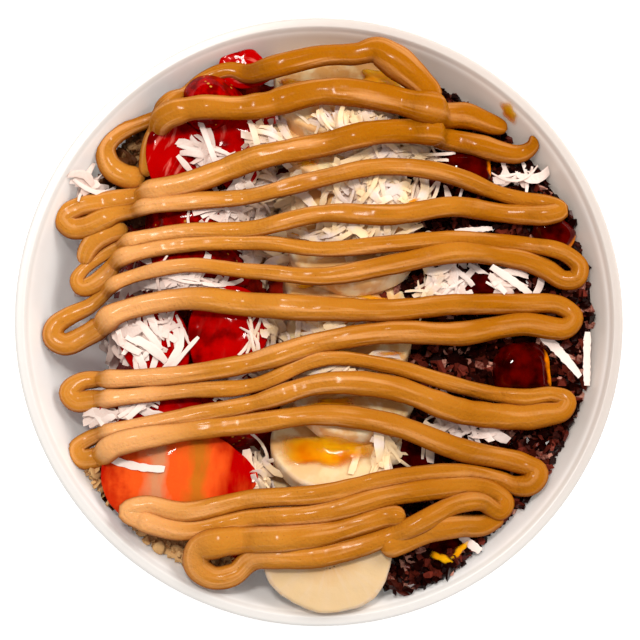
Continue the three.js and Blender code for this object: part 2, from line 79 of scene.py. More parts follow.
# Of each faint ridge round the inside: how far below the rim, its width and its height.
WALL_RIDGES = [(4.2, 0.5, 0.04), (8.5, 0.7, 0.05)]
CLEARANCE = 0.25                # between the food and the wall

# How finely surfaces are cut: columns round them, and rows where the shape doesn't say.
ACAI_COLUMNS = 160
BANANA_COLUMNS = 120
STRAWBERRY_COLUMNS = 84
STRAWBERRY_ROWS = 50
GLAZED_COLUMNS = 64
GLAZED_ROWS = 40
FLAKE_COLUMNS = 10
FLAKE_ROWS = 5

# Seeds of the random draws.
CACAO_SEED = 5
GRANOLA_SEED = 8
COCONUT_SEED = 21

# ---------------------------------------------------------------- levels of the food
ACAI_LEVEL = 43.2
BANANA_BED_DEPTH = 7
BANANA_BED = (-14, 29)          # the bananas' bed runs between these two x
BED_EDGE = 5                    # how wide its slopes are
LEFT_HOLLOW = (-66, -54)        # the hollow ends between these two x
LEFT_HOLLOW_DEPTH = 9
LEFT_PIT_DEPTH = 24             # further down between the granola heaps, to the bare wall
LEFT_PIT = (-58, -50)           # the pit ends between these two x
PIT_FRONT = (-46, -40)          # and its slopes lie between these y
PIT_BACK = (22, 28)
STRAWBERRY_TOP = 57
BANANA_TOP = 60.2
NIB_LEVEL = 48.6
NIB_SHOULDER = 5
SHOULDER_FALL = (30, 48.5)      # the nibs' shoulder falls away between these two x
GENTLE_END = (36, 47)           # and there is none past these two y
NIB_BANK = 3.2                  # how much higher the nibs lie at the wall
NIB_BANK_END = (28, 42)         # except past these two y
BANK_RADII = (64, 75)           # where the heaps rise towards the wall

# ---------------------------------------------------------------- where peanut butter rests
WALL_REST_LEVEL = 50
FRUIT_REST_LEVEL = STRAWBERRY_TOP + 0.6
BANANA_REST_LEVEL = BANANA_TOP + 0.5
NIB_REST_LEVEL = NIB_LEVEL + 2.1
FRUIT_EDGE = -56.6              # x where the strawberries begin in the bowl's lower half
FRUIT_EDGE_SLANT = 14           # how much further right they begin at its top
DOME_X = -28                    # the strawberry that stands up near the top
DOME_REACH = (9, 16)            # its slopes, to each side of that
DOME_FRONT = (48, 52)           # and from these y
DOME_BACK = (57, 60)            # to these
DOME_RISE = 3.4
BEHIND_DOME = (57, 61)          # y where ribbons drop behind it
BEHIND_DOME_END = (-22, -13)    # x where they come up again
BEHIND_DOME_SHARE = 0.85
BANANA_CLIMB = (-22, -10)       # x where they climb onto the bananas
BANANA_EDGE = (29.3, 30.7)      # and where they come off them
GENTLE_STRETCH = 18             # how much wider that fall is in the bowl's lower half
NIB_END = (60, 72)              # x where they rise again, at the right wall
NIB_END_RISE = 1.2

# How many random numbers random_field draws from, and what it picks among them with.
LATTICE_VALUES = 4096
LATTICE_PRIMES = np.array([73856093, 19349663, 83492791])


def smooth(start, end, value):
    """0 before start and 1 after end, with an S-shaped rise between them."""
    share = np.clip((value - start) / (end - start), 0, 1)
    return share * share * (3 - 2 * share)


def wall_radius(z):
    """Inner radius of the wall at height z: a power of the height above the floor."""
    rise = np.clip((z - FLOOR_THICKNESS) / (BOWL_HEIGHT - FLOOR_THICKNESS), 0, 1)
    return INNER_FLOOR_RADIUS + (INNER_RIM_RADIUS - INNER_FLOOR_RADIUS) * rise ** WALL_CURVE


def wall_level(radius):
    """Height of the inner wall at a radius: the inverse of wall_radius."""
    share = np.clip((radius - INNER_FLOOR_RADIUS) / (INNER_RIM_RADIUS - INNER_FLOOR_RADIUS), 0, 1.2)
    return FLOOR_THICKNESS + (BOWL_HEIGHT - FLOOR_THICKNESS) * share ** (1 / WALL_CURVE)


def random_field(points, size, seed=0):
    """Smooth random values from -1 to 1: random numbers on a cubic lattice of cells of the
    given size, blended by an S-curve between the eight corners round each point."""
    table = np.random.default_rng(seed).uniform(-1, 1, LATTICE_VALUES)
    cell = np.asarray(points, float) / size
    corner = np.floor(cell).astype(np.int64)
    share = smooth(0, 1, cell - corner)
    total = 0
    for step in product((0, 1), repeat=3):
        key = np.bitwise_xor.reduce((corner + np.array(step)) * LATTICE_PRIMES, axis=-1)
        weight = np.where(np.array(step) == 1, share, 1 - share).prod(axis=-1)
        total = total + weight * table[key % LATTICE_VALUES]
    return total


def in_plan(x, y):
    """Points at height 0."""
    return np.stack([x, y, 0 * x], -1)


def acai_top(x, y):
    """The acai's level: flat, with a bed for the bananas and a hollow at the far left."""
    left, right = BANANA_BED
    bed = smooth(left - BED_EDGE, left, x) * (1 - smooth(right, right + BED_EDGE, x))
    hollow = 1 - smooth(*LEFT_HOLLOW, x)
    pit = (1 - smooth(*LEFT_PIT, x)) * smooth(*PIT_FRONT, y) * (1 - smooth(*PIT_BACK, y))
    lumps = 0.5 * random_field(in_plan(x, y), 7, 1) + 0.25 * random_field(in_plan(x, y), 2.6, 2)
    return (ACAI_LEVEL - BANANA_BED_DEPTH * bed - LEFT_HOLLOW_DEPTH * hollow
            - LEFT_PIT_DEPTH * pit + lumps)


def gentle(y):
    """1 over the lower half of the bowl, where the nibs fall away gently, and 0 at its top."""
    return 1 - smooth(*GENTLE_END, y)


def bank(x, y):
    """How far the heaps bank up against the wall, from 0 to 1."""
    return smooth(*BANK_RADII, np.hypot(x, y))


def nib_level(x, y):
    """The nibs' level: high beside the bananas, falling to the right, banked at the wall."""
    shoulder = NIB_SHOULDER * gentle(y) * (1 - smooth(*SHOULDER_FALL, x))
    banked = NIB_BANK * bank(x, y) * (1 - smooth(*NIB_BANK_END, y))
    return NIB_LEVEL + shoulder + banked + 0.9 * random_field(in_plan(x, y), 5, 3)


def resting_level(x, y):
    """The level that peanut butter lies on: the wall at the far left, the strawberries,
    the bananas, then down to the nibs on the right. It dips behind the strawberry that
    stands up near the top, and rises over it just below that."""
    edge = FRUIT_EDGE + FRUIT_EDGE_SLANT * smooth(0, 50, y)
    behind = BEHIND_DOME_SHARE * smooth(*BEHIND_DOME, y) * (1 - smooth(*BEHIND_DOME_END, x))
    along_dome = smooth(*DOME_FRONT, y) * (1 - smooth(*DOME_BACK, y))
    onto_dome = (1 - smooth(*DOME_REACH, np.abs(x - DOME_X))) * along_dome
    onto_fruit = smooth(edge - 0.5, edge + 0.5, x) * (1 - behind)
    onto_banana = smooth(*BANANA_CLIMB, x)
    start, end = BANANA_EDGE
    off_banana = smooth(start, end + GENTLE_STRETCH * gentle(y), x)
    return (WALL_REST_LEVEL
            + DOME_RISE * onto_dome
            + (FRUIT_REST_LEVEL - WALL_REST_LEVEL) * onto_fruit
            + (BANANA_REST_LEVEL - FRUIT_REST_LEVEL) * onto_banana
            - (BANANA_REST_LEVEL - NIB_REST_LEVEL) * off_banana
            + NIB_END_RISE * smooth(*NIB_END, x))


class Relief:
    """How high the food stands at each place: the highest level in each cell of a square
    grid. It grows as pieces are laid down, so each piece can rest on the ones before."""

    cell = 0.8

    def __init__(self):
        self.count = int(2 * LIP_RADIUS / self.cell) + 1
        axis = (np.arange(self.count) + 0.5) * self.cell - LIP_RADIUS
        x, y = np.meshgrid(axis, axis)
        self.level = np.maximum(acai_top(x, y), wall_level(np.hypot(x, y)))

    def add(self, points, quads):
        """Raises the cells under each quad's corners, its middle and its sides' middles."""
        corners = points[quads]
        sides = (corners + np.roll(corners, -1, axis=1)) / 2
        middles = corners.mean(axis=1, keepdims=True)
        spots = np.concatenate([corners, sides, middles], axis=1).reshape(-1, 3)
        cells = np.clip(((spots[:, :2] + LIP_RADIUS) / self.cell).astype(int), 0, self.count - 1)
        np.maximum.at(self.level, (cells[:, 1], cells[:, 0]), spots[:, 2])

    def at(self, x, y):
        """The level at any place, blended between the four nearest cells."""
        column = np.clip((x + LIP_RADIUS) / self.cell - 0.5, 0, self.count - 1.001)
        row = np.clip((y + LIP_RADIUS) / self.cell - 0.5, 0, self.count - 1.001)
        i, k = np.floor(row).astype(int), np.floor(column).astype(int)
        down, across = row - i, column - k
        upper = self.level[i, k] * (1 - across) + self.level[i, k + 1] * across
        lower = self.level[i + 1, k] * (1 - across) + self.level[i + 1, k + 1] * across
        return upper * (1 - down) + lower * down


RELIEF = Relief()


# ---------------------------------------------------------------- closed surfaces from rings
def volume(points, faces):
    """Volume inside closed faces: the sum of the tetrahedra from the origin to each."""
    first = points[faces[:, 0]]
    return sum(
        np.einsum("ij,ij->", first, np.cross(points[faces[:, i]], points[faces[:, i + 1]]))
        for i in range(1, faces.shape[1] - 1)) / 6


def shells(rings):
    """Closed surfaces from rings[piece, row, column] of points. Neighbouring rows are
    joined by quads, and each end row by a fan to its middle. Faces look outwards."""
    pieces, rows, columns, _ = rings.shape
    grid = np.arange(rows * columns).reshape(rows, columns)
    beside = np.roll(grid, -1, axis=1)
    quads = np.stack([grid[:-1], beside[:-1], beside[1:], grid[1:]], -1).reshape(-1, 4)
    first, last = rows * columns, rows * columns + 1
    fans = np.concatenate([
        np.stack([beside[0], grid[0], np.full(columns, first)], -1),
        np.stack([grid[-1], beside[-1], np.full(columns, last)], -1)])
    body = rings.reshape(pieces, rows * columns, 3)
    points = np.concatenate([body, rings[:, [0, -1]].mean(axis=2)], axis=1)
    shift = points.shape[1] * np.arange(pieces)[:, None, None]
    points = points.reshape(-1, 3)
    quads = (quads + shift).reshape(-1, 4)
    fans = (fans + shift).reshape(-1, 3)
    if volume(points, quads) + volume(points, fans) < 0:
        quads, fans = quads[:, ::-1], fans[:, ::-1]
    return points, quads, fans


def for_points(values):
    """Vectors given as values[row, column], in the order of the points that shells makes."""
    return shells(values[None])[0]


def about(axis, angle):
    """Rotations about axis 0, 1 or 2: a matrix for each angle in radians."""
    first, second = (axis + 1) % 3, (axis + 2) % 3
    matrix = np.zeros((*np.shape(angle), 3, 3)) + np.eye(3)
    matrix[..., first, first] = matrix[..., second, second] = np.cos(angle)
    matrix[..., second, first] = np.sin(angle)
    matrix[..., first, second] = -np.sin(angle)
    return matrix


def turned(points, x=0, y=0, z=0):
    """Points turned about Y, then X, then Z, by angles in degrees."""
    return points @ (about(2, radians(z)) @ about(0, radians(x)) @ about(1, radians(y))).T


def spins(heading, pitch, roll):
    """One rotation a piece: roll about its length, X, then pitch upwards, then heading."""
    return about(2, heading) @ about(1, -pitch) @ about(0, roll)


def inside_bowl(points):
    """Pulls points that would stick into the wall back to just inside it."""
    radius = np.hypot(points[..., 0], points[..., 1])
    limit = wall_radius(points[..., 2]) - CLEARANCE
    share = np.where(points[..., 2] < BOWL_HEIGHT, np.minimum(1, limit / np.maximum(radius, 1e-6)), 1)
    return np.concatenate([points[..., :2] * share[..., None], points[..., 2:]], -1)


def piece(name, surface, material, slot, replaces=(), flat=False, laid=False, **attributes):
    """Makes one finished object of a closed surface, riding on the bowl. One that is laid
    raises the relief for the pieces after it. Attributes are numbers or vectors for each
    point, which its material reads."""
    points, *faces = surface
    mesh = bpy.data.meshes.new(name)
    mesh.vertices.add(len(points))
    mesh.vertices.foreach_set("co", (points * MM).ravel().astype(np.float32))
    corners = np.concatenate([part.ravel() for part in faces])
    sizes = np.concatenate([np.full(len(part), part.shape[1]) for part in faces])
    mesh.loops.add(len(corners))
    mesh.loops.foreach_set("vertex_index", corners.astype(np.int32))
    mesh.polygons.add(len(sizes))
    mesh.polygons.foreach_set("loop_start", (np.cumsum(sizes) - sizes).astype(np.int32))
    mesh.polygons.foreach_set("use_smooth", np.full(len(sizes), not flat))
    for key, values in attributes.items():
        kind, field = ("FLOAT_VECTOR", "vector") if values.ndim == 2 else ("FLOAT", "value")
        data = mesh.attributes.new(key, kind, "POINT").data
        data.foreach_set(field, values.ravel().astype(np.float32))
    mesh.update(calc_edges=True)
    mesh.validate()
    mesh.materials.append(material)
    made = bpy.data.objects.new(name, mesh)
    bpy.context.scene.collection.objects.link(made)
    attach(made, "root")
    if replaces:
        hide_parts(*replaces)
    if laid:
        RELIEF.add(points, faces[0])


# ---------------------------------------------------------------- finishes
def paint(red, green, blue):
    """A linear colour from everyday 0 to 255 steps."""
    return tuple((step / 255) ** 2.2 for step in (red, green, blue))


class Value:
    """A number or a colour at each point of a surface, which is a node's output. Sums,
    differences and products of values add the nodes that work them out."""

    def __init__(self, finish, socket):
        self.finish = finish
        self.socket = socket

    def __add__(self, other):
        return self.finish.calc("ADD", self, other)

    def __sub__(self, other):
        return self.finish.calc("SUBTRACT", self, other)

    def __rsub__(self, other):
        return self.finish.calc("SUBTRACT", other, self)

    def __mul__(self, other):
        return self.finish.calc("MULTIPLY", self, other)


class Finish:
    """A material in the making, with short calls that add nodes to it."""

    def __init__(self, name, **sockets):
        self.material = bpy.data.materials.new(name)
        self.material.use_nodes = True
        self.tree = self.material.node_tree
        self.shader = self.tree.nodes["Principled BSDF"]
        for socket, value in sockets.items():
            self.shader.inputs[socket.replace("_", " ")].default_value = value
        self.place = Value(self, self.add("ShaderNodeTexCoord").outputs["Object"])
        self.normal = None

    def add(self, kind, **settings):
        """A new node of this kind."""
        node = self.tree.nodes.new(kind)
        for key, value in settings.items():
            setattr(node, key, value)
        return node

    def feed(self, socket, value):
        """Links a socket to a value, or sets it to a plain number or colour."""
        if isinstance(value, Value):
            self.tree.links.new(value.socket, socket)
        elif socket.type == "RGBA":
            socket.default_value = (*value, 1)
        else:
            socket.default_value = value

    def fed(self, node, values, output=0):
        """Feeds a node's sockets in their order, and gives one of its outputs."""
        for socket, value in zip(node.inputs, values):
            self.feed(socket, value)
        return Value(self, node.outputs[output])

    def read(self, attribute, output="Fac"):
        """An attribute of the piece, as a number or as a vector."""
        return self.fed(self.add("ShaderNodeAttribute", attribute_name=attribute), [], output)

    def axes(self, attribute=None):
        """The three numbers of a vector attribute, or of the place itself, in metres."""
        node = self.add("ShaderNodeSeparateXYZ")
        self.feed(node.inputs[0], self.read(attribute, "Vector") if attribute else self.place)
        return [Value(self, output) for output in node.outputs]

    def noise(self, size, detail, vector=None, unit=MM):
        """Random blotches of about this size, in millimetres on the piece itself."""
        node = self.add("ShaderNodeTexNoise")
        node.inputs["Scale"].default_value = 1 / (size * unit)
        node.inputs["Detail"].default_value = detail
        return self.fed(node, [vector or self.place])

    def pattern(self, detail, *numbers):
        """Random blotches about 1 across, in a space made of up to three numbers."""
        return self.noise(1, detail, self.fed(self.add("ShaderNodeCombineXYZ"), numbers), unit=1)

    def cells(self, size):
        """Distance from the middle of random cells of about this size."""
        node = self.add("ShaderNodeTexVoronoi")
        node.inputs["Scale"].default_value = 1 / (size * MM)
        return self.fed(node, [self.place], "Distance")

    def calc(self, operation, *values):
        """The outcome of one of the maths node's operations."""
        return self.fed(self.add("ShaderNodeMath", operation=operation), values)

    def step(self, value, start, end, low=0.0, high=1.0):
        """A smooth change from low to high as the value goes from start to end."""
        node = self.add("ShaderNodeMapRange", interpolation_type="SMOOTHSTEP")
        return self.fed(node, (value, start, end, low, high))

    def ramp(self, value, stops):
        """Colours blended along a value from 0 to 1: stops are places with colours."""
        node = self.add("ShaderNodeValToRGB")
        while len(node.color_ramp.elements) < len(stops):
            node.color_ramp.elements.new(1.0)
        for element, (place, colour) in zip(node.color_ramp.elements, stops):
            element.position = place
            element.color = (*colour, 1)
        return self.fed(node, [value])

    def mix(self, share, first, second, blend="MIX"):
        """The first colour, with this share of the second mixed into it or laid over it."""
        node = self.add("ShaderNodeMix", data_type="RGBA", blend_type=blend)
        self.feed(node.inputs[0], share)
        self.feed(node.inputs[6], first)
        self.feed(node.inputs[7], second)
        return Value(self, node.outputs[2])

    def bump(self, height, depth, strength):
        """Raises the surface's look by depth millimetres where height is 1."""
        node = self.add("ShaderNodeBump")
        node.inputs["Strength"].default_value = strength
        node.inputs["Distance"].default_value = depth * MM
        self.feed(node.inputs["Height"], height)
        if self.normal:
            self.feed(node.inputs["Normal"], self.normal)
        self.normal = Value(self, node.outputs[0])

    def done(self, colour):
        """Links the colour and the bumps, and gives back the material."""
        self.feed(self.shader.inputs["Base Color"], colour)
        if self.normal:
            self.feed(self.shader.inputs["Normal"], self.normal)
        return self.material


def bowl_plastic(colours):
    """White, slightly milky plastic with faint random clouds, duller on the lip. It carries painted
    shade: a warm, darker tint towards the back right, where the wall faces away from the light,
    stronger deeper down the wall and on the lip."""
    made = Finish("bowl plastic", Roughness=0.32, Coat_Weight=0.05, Coat_Roughness=0.2,
                  Subsurface_Weight=0.4, Subsurface_Scale=0.005, Subsurface_Radius=(1.0, 0.97, 0.94))
    x, y, z = made.axes()
    # Painted shade: the share of the warm, darker tint rises towards the back right and grows deeper
    # down the wall.
    tint = made.step(x * 0.8 + y * 0.6, -0.02, 0.06)
    deep = made.step(z, (BOWL_HEIGHT - 0.5) * MM, (BOWL_HEIGHT - 4) * MM)
    cloud = made.mix(made.noise(9, 3) * 0.25, colours.bowl, colours.bowl_cloud_and_painted_shade)
    wall = made.mix(tint * (deep * 0.85), cloud, colours.bowl_cloud_and_painted_shade)
    # Painted shade on the lip, towards the back right.
    lip = made.mix(tint, colours.bowl_lip, colours.bowl_lip_painted_shade)
    on_lip = made.step(z, (BOWL_HEIGHT - 1.8) * MM, (BOWL_HEIGHT - 0.8) * MM)
    made.bump(made.noise(1.1, 2), 0.03, 0.25)
    return made.done(made.mix(on_lip, wall, lip))


def acai_puree(colours):
    """Dark frozen puree: icy lumps with paler, frosted tops, redder left of the nibs, under the fruit.
    """
    made = Finish("acai puree", Roughness=0.4, Specular_IOR_Level=0.02, Coat_Weight=0.2,
                  Coat_Roughness=0.2)
    made.bump(made.noise(1.7, 5), 0.9, 0.7)
    frost = made.step(made.noise(0.8, 4), 0.52, 0.75)
    colour = made.mix(frost * 0.5, colours.acai, colours.acai_frost)
    # Redder left of the nibs, under the fruit.
    redder_at_left = made.step(made.axes()[0], 0.03, 0.005, 0, 0.9)
    return made.done(made.mix(redder_at_left, colour, colours.acai_red_at_left))


def banana_flesh(colours):
    """Cream flesh: a moist, slightly glassy core with rays and seeds, streaks on the rim, and stains of
    honey on all but the lowest slices, which painted shade dims."""
    made = Finish("banana flesh", Roughness=0.4, Specular_IOR_Level=0.08, Coat_Weight=0.2,
                  Coat_Roughness=0.13, Subsurface_Weight=0.25, Subsurface_Scale=0.002,
                  Subsurface_Radius=(1.0, 0.8, 0.5))
    x, y, z = made.axes("local")
    radius = made.calc("SQRT", x * x + y * y)
    angle = made.calc("ARCTAN2", y, x)
    blotch = made.noise(3.2, 4)
    made.bump(blotch, 0.5, 0.4)
    core = made.step(radius + blotch * 0.3, 0.35, 0.75, 1, 0)
    rays = made.pattern(2, angle * 5.0, radius * 1.2)
    flesh = made.mix(core, colours.banana, colours.banana_core)
    flesh = made.mix(made.step(rays, 0.45, 0.7) * 0.35, flesh, colours.banana_rim)
    ring = made.step(radius, 0.16, 0.2) * made.step(radius, 0.3, 0.36, 1, 0)
    specks = made.step(made.cells(0.9), 0.16, 0.26, 1, 0)
    seeds = ring * specks * made.step(rays, 0.5, 0.55)
    flesh = made.mix(seeds * 0.8, flesh, colours.banana_seed)
    streaks = made.pattern(2, angle * 9.0, z * 0.3)
    rim = made.mix(made.step(streaks, 0.4, 0.7) * 0.5, colours.banana_rim, colours.banana_core)
    slice_colour = made.mix(made.step(radius, 0.93, 0.99), flesh, rim)
    down = made.axes()[1]
    stain = made.step(made.noise(6, 3), 0.36, 0.56) * made.step(down, -0.05, -0.03)
    stained = made.mix(stain * 0.7, slice_colour, colours.banana_glaze)
    # Painted shade: the slices towards -Y, the lowest in the bowl, are dimmed.
    return made.done(made.mix(made.step(down, -0.015, -0.06), stained, colours.banana_painted_shade, "MULTIPLY"))


def strawberry_flesh(colours):
    """Cut strawberry: a pale core with white veins running out to a deep red skin, which
    has small yellow seeds in dimples. One half has bands of honey and paler flesh across."""
    made = Finish("strawberry flesh", Roughness=0.4, Specular_IOR_Level=0.0, Coat_Weight=0.25,
                  Coat_Roughness=0.07, Subsurface_Weight=0.08, Subsurface_Scale=0.0015,
                  Subsurface_Radius=(1.0, 0.25, 0.15))
    x, y, z = made.axes("local")
    blotch = made.noise(2.6, 3)
    reach = made.calc("SQRT", x * x + y * y) + (blotch - 0.5) * 0.7
    core = made.step(reach, -0.1, 0.4, 0.8, 0)
    veins = made.step(made.pattern(3, x * 3.4, y * 1.1), 0.56, 0.7) * made.read("pale")
    face = made.mix(core, colours.strawberry_flesh, colours.strawberry_core)
    face = made.mix(made.step(made.noise(6, 3), 0.45, 0.7), face, colours.strawberry)
    face = made.mix(veins, face, colours.strawberry_vein)
    red, ripe = colours.strawberry_flesh, colours.strawberry_ripe
    amber, salmon = colours.strawberry_amber, colours.strawberry_salmon
    along = y + (made.pattern(3, x * 1.1, y * 3.6) - 0.5) * 0.5
    bands = made.ramp(along * 0.5 + 0.5, [
        (0.0, red), (0.16, red), (0.28, ripe), (0.36, amber), (0.42, amber), (0.5, ripe),
        (0.56, ripe), (0.61, salmon), (0.66, salmon), (0.76, ripe), (0.9, ripe), (1.0, red)])
    bands = made.mix(made.step(reach, 0.55, 1.05) * 0.75, bands, red)
    streaks = made.pattern(3, x * 1.4, y * 7.0)
    bands = made.mix(made.step(streaks, 0.45, 0.75) * 0.4, bands, ripe)
    face = made.mix(made.read("banded") * 0.9, face, bands)
    skin = made.mix(made.step(blotch, 0.35, 0.7), colours.strawberry, colours.strawberry_flesh)
    on_face = made.step(z, -0.10, -0.02)
    off_face = 1.0 - on_face
    seeds = made.cells(2.7)
    skin = made.mix(made.step(seeds, 0.1, 0.16, 1, 0) * off_face, skin, colours.strawberry_seed)
    made.bump(made.step(seeds, 0.1, 0.4) * off_face, 0.5, 0.6)
    made.bump(made.noise(1.8, 3), 0.4, 0.4)
    return made.done(made.mix(on_face, skin, face))


def glazed_skin(colours):
    """Dark syrupy fruit: nearly black red, turning to amber along one thin edge."""
    made = Finish("glazed fruit skin", Roughness=0.3, Specular_IOR_Level=0.0, Coat_Weight=0.5,
                  Coat_Roughness=0.05, Subsurface_Weight=0.1, Subsurface_Scale=0.0015)
    blotch = made.noise(4.5, 2)
    red = made.mix(made.step(blotch, 0.3, 0.7), colours.glazed, colours.glazed_glow)
    edge = made.axes("local")[0] + (blotch - 0.5) * 0.6
    made.bump(made.noise(1.6, 3), 0.7, 0.5)
    return made.done(made.mix(made.step(edge, 0.7, 0.9), red, colours.honey_deep))


def cacao_finish(colours):
    """Broken nibs: dark brown, reddish or pale husk by each nib's own tint, dry and grainy."""
    made = Finish("cacao", Roughness=0.45, Specular_IOR_Level=0.04, Coat_Weight=0.35,
                  Coat_Roughness=0.16)
    grain = made.noise(0.6, 4)
    made.bump(grain, 0.15, 0.6)
    lively = made.read("tint") + (grain - 0.5) * 0.25
    brown = made.mix(made.step(lively, 0.2, 0.75), colours.nib, colours.nib_red)
    return made.done(made.mix(made.step(lively, 0.84, 1.0), brown, colours.nib_husk))


def coconut_finish(colours):
    """Shredded coconut: white and matt, with duller fibres along each shred, and warm in blotches over
    the bananas, partly with honey and partly with painted warm shade."""
    made = Finish("coconut", Roughness=0.6, Specular_IOR_Level=0.08)
    fibres = made.noise(0.7, 3)
    made.bump(fibres, 0.15, 0.4)
    dull = made.read("tint") * 0.5 + fibres * 0.4
    white = made.mix(made.step(dull, 0.3, 1.0), colours.coconut, colours.coconut_shade)
    x = made.axes()[0]
    # Warm blotches over the bananas: partly honey, partly painted warm shade.
    over_banana = made.step(x, -0.024, -0.012) * made.step(x, 0.036, 0.026)
    honey_and_painted_warmth = over_banana * made.step(made.noise(5, 3), 0.3, 0.6)
    return made.done(made.mix(honey_and_painted_warmth * 0.85, white, colours.coconut_honey_and_painted_warmth))


def granola_finish(colours):
    """Toasted oats: tan with browner edges and a floury, flaky surface."""
    made = Finish("granola", Roughness=0.6, Specular_IOR_Level=0.2)
    grain = made.noise(0.9, 5)
    made.bump(grain, 0.3, 0.8)
    share = made.step(made.read("tint") + grain * 0.5, 0.4, 1.3)
    return made.done(made.mix(share, colours.granola, colours.granola_toasted))


def honey_finish(colours):
    """Amber honey, partly see-through, thinning out to nothing at its edge, very glossy."""
    made = Finish("honey", Roughness=0.2, Specular_IOR_Level=0.0, Coat_Weight=0.7,
                  Coat_Roughness=0.04, Subsurface_Weight=0.5, Subsurface_Scale=0.002,
                  Subsurface_Radius=(1.0, 0.5, 0.08))
    share = made.step(made.noise(7, 2), 0.3, 0.75)
    made.bump(made.noise(4, 2), 0.5, 0.5)
    made.feed(made.shader.inputs["Alpha"], made.step(made.read("edge"), 1.0, 0.45, 0.0, 0.85))
    return made.done(made.mix(share, colours.honey, colours.honey_deep))


def peanut_butter_finish(colours):
    """Smooth peanut butter: paler towards the left and browner towards the right and the top, with
    paler and browner drifts, fine specks and an oily sheen that breaks up over small ripples. Its paler
    high parts at the far left are painted light, its pale streaks are partly painted highlight, and its
    darker sides are painted shade."""
    made = Finish("peanut butter", Roughness=0.4, Specular_IOR_Level=0.0, Coat_Weight=0.17,
                  Coat_Roughness=0.16, Subsurface_Weight=0.15, Subsurface_Scale=0.0015,
                  Subsurface_Radius=(1.0, 0.45, 0.15))
    x, y, z = made.axes()
    drift = (made.noise(22, 2) - 0.5) * 1.2
    # Browner towards the right and the top, and in random drifts.
    browner = made.step(x, -0.06, 0.05) * 0.75 + made.step(y, 0.038, 0.054) * 0.55 + drift
    colour = made.mix(made.step(browner, -0.2, 1.1), colours.peanut_butter,
                      colours.peanut_butter_deep)
    # Painted light: the high parts at the far left are paler, as if lit by the bright wall beside them.
    at_left = made.step(x, -0.026, -0.05) * made.step(y, 0.05, 0.025)
    paler = at_left * made.step(z, 0.056, 0.061)
    colour = made.mix(paler * 0.8, colour, colours.peanut_butter_pale_and_painted_light)
    along, across, above = made.axes("section")
    streaks = made.pattern(3, along * 0.045, across * 2.2, above * 1.4)
    # Pale streaks along the ribbons: partly random drifts, partly painted highlight, stronger at the
    # left.
    streaks_and_painted_highlight = made.step(streaks, 0.46, 0.7) * made.step(x, 0.04, -0.01, 0.32, 0.62)
    colour = made.mix(streaks_and_painted_highlight, colour, colours.peanut_butter_pale_and_painted_light)
    # Painted shade: darker down each ribbon's sides, least on the side towards +Y.
    sides = made.step(above, 0.9, 0.0)
    colour = made.mix(sides * 0.9, colour, colours.peanut_butter_painted_shade)
    specks = made.step(made.cells(1.5), 0.07, 0.13, 1, 0) * made.step(made.noise(2.2, 1), 0.5, 0.6)
    colour = made.mix(specks * 0.5, colour, colours.peanut_speck)
    made.bump(streaks, 0.5, 0.7)
    made.bump(made.noise(0.9, 4), 0.35, 0.9)
    return made.done(colour)


# ---------------------------------------------------------------- the bowl and the acai
def arc(middle, radius, start, end, steps):
    """Points of a circle's arc, from one angle in degrees to another."""
    angle = np.radians(np.linspace(start, end, steps))
    return np.stack([middle[0] + radius * np.cos(angle), middle[1] + radius * np.sin(angle)], -1)


def bowl_profile():
    """Radius and height from the middle of the underside, out under the foot, up the
    wall, round the lip and its inner bead, and down the inside to the floor's middle."""
    foot = INNER_FLOOR_RADIUS + WALL_THICKNESS - FOOT_INSET
    recess = foot - FOOT_WIDTH
    under = BOWL_HEIGHT - LIP_HEIGHT
    climb = np.linspace(FLOOR_THICKNESS + 0.6, under - 0.8, 22)
    outside = np.stack([wall_radius(climb) + WALL_THICKNESS, climb], -1)
    descent = np.linspace(BOWL_HEIGHT - 1.4, FLOOR_THICKNESS + 0.6, 44)
    ridges = sum(height * np.exp(-((descent - (BOWL_HEIGHT - below)) / width) ** 2)
                 for below, width, height in WALL_RIDGES)
    inside = np.stack([wall_radius(descent) - ridges, descent], -1)
    outer, top = LIP_RADIUS - LIP_ROLL, BOWL_HEIGHT - LIP_ROLL
    lip = np.concatenate([
        arc((outer, under + LIP_ROLL), LIP_ROLL, -80, 0, 5),
        arc((outer, top), LIP_ROLL, 0, 84, 6),
        [[INNER_RIM_RADIUS + 1.5, BOWL_HEIGHT - 0.12]],
        arc((INNER_RIM_RADIUS + 0.75, BOWL_HEIGHT - BEAD_RADIUS), BEAD_RADIUS, 80, 132, 5)])
    return np.concatenate([
        [[8, FOOT_RECESS], [recess - 1.4, FOOT_RECESS], [recess - 0.6, 0.5], [recess, 0],
         [foot - 1, 0], [foot, 0.25], [foot + 0.9, 1.5]],
        outside,
        [[wall_radius(under) + WALL_THICKNESS + 0.2, under]],
        lip,
        inside,
        [[INNER_FLOOR_RADIUS - 1, FLOOR_THICKNESS + 0.1], [INNER_FLOOR_RADIUS - 6, FLOOR_THICKNESS],
         [8, FLOOR_THICKNESS]]])


def around(columns):
    """Angles evenly round a circle, in radians."""
    return np.linspace(0, 2 * pi, columns, endpoint=False)


def make_bowl(sizes, colours):
    """The profile carried round the axis."""
    profile = bowl_profile()
    angle = around(sizes.bowl_segments)
    rings = np.stack([
        profile[:, :1] * np.cos(angle), profile[:, :1] * np.sin(angle),
        np.repeat(profile[:, 1:], len(angle), axis=1)], -1)
    piece("bowl_shell", shells(rings[None]), bowl_plastic(colours), "bowl", ["bowl"])


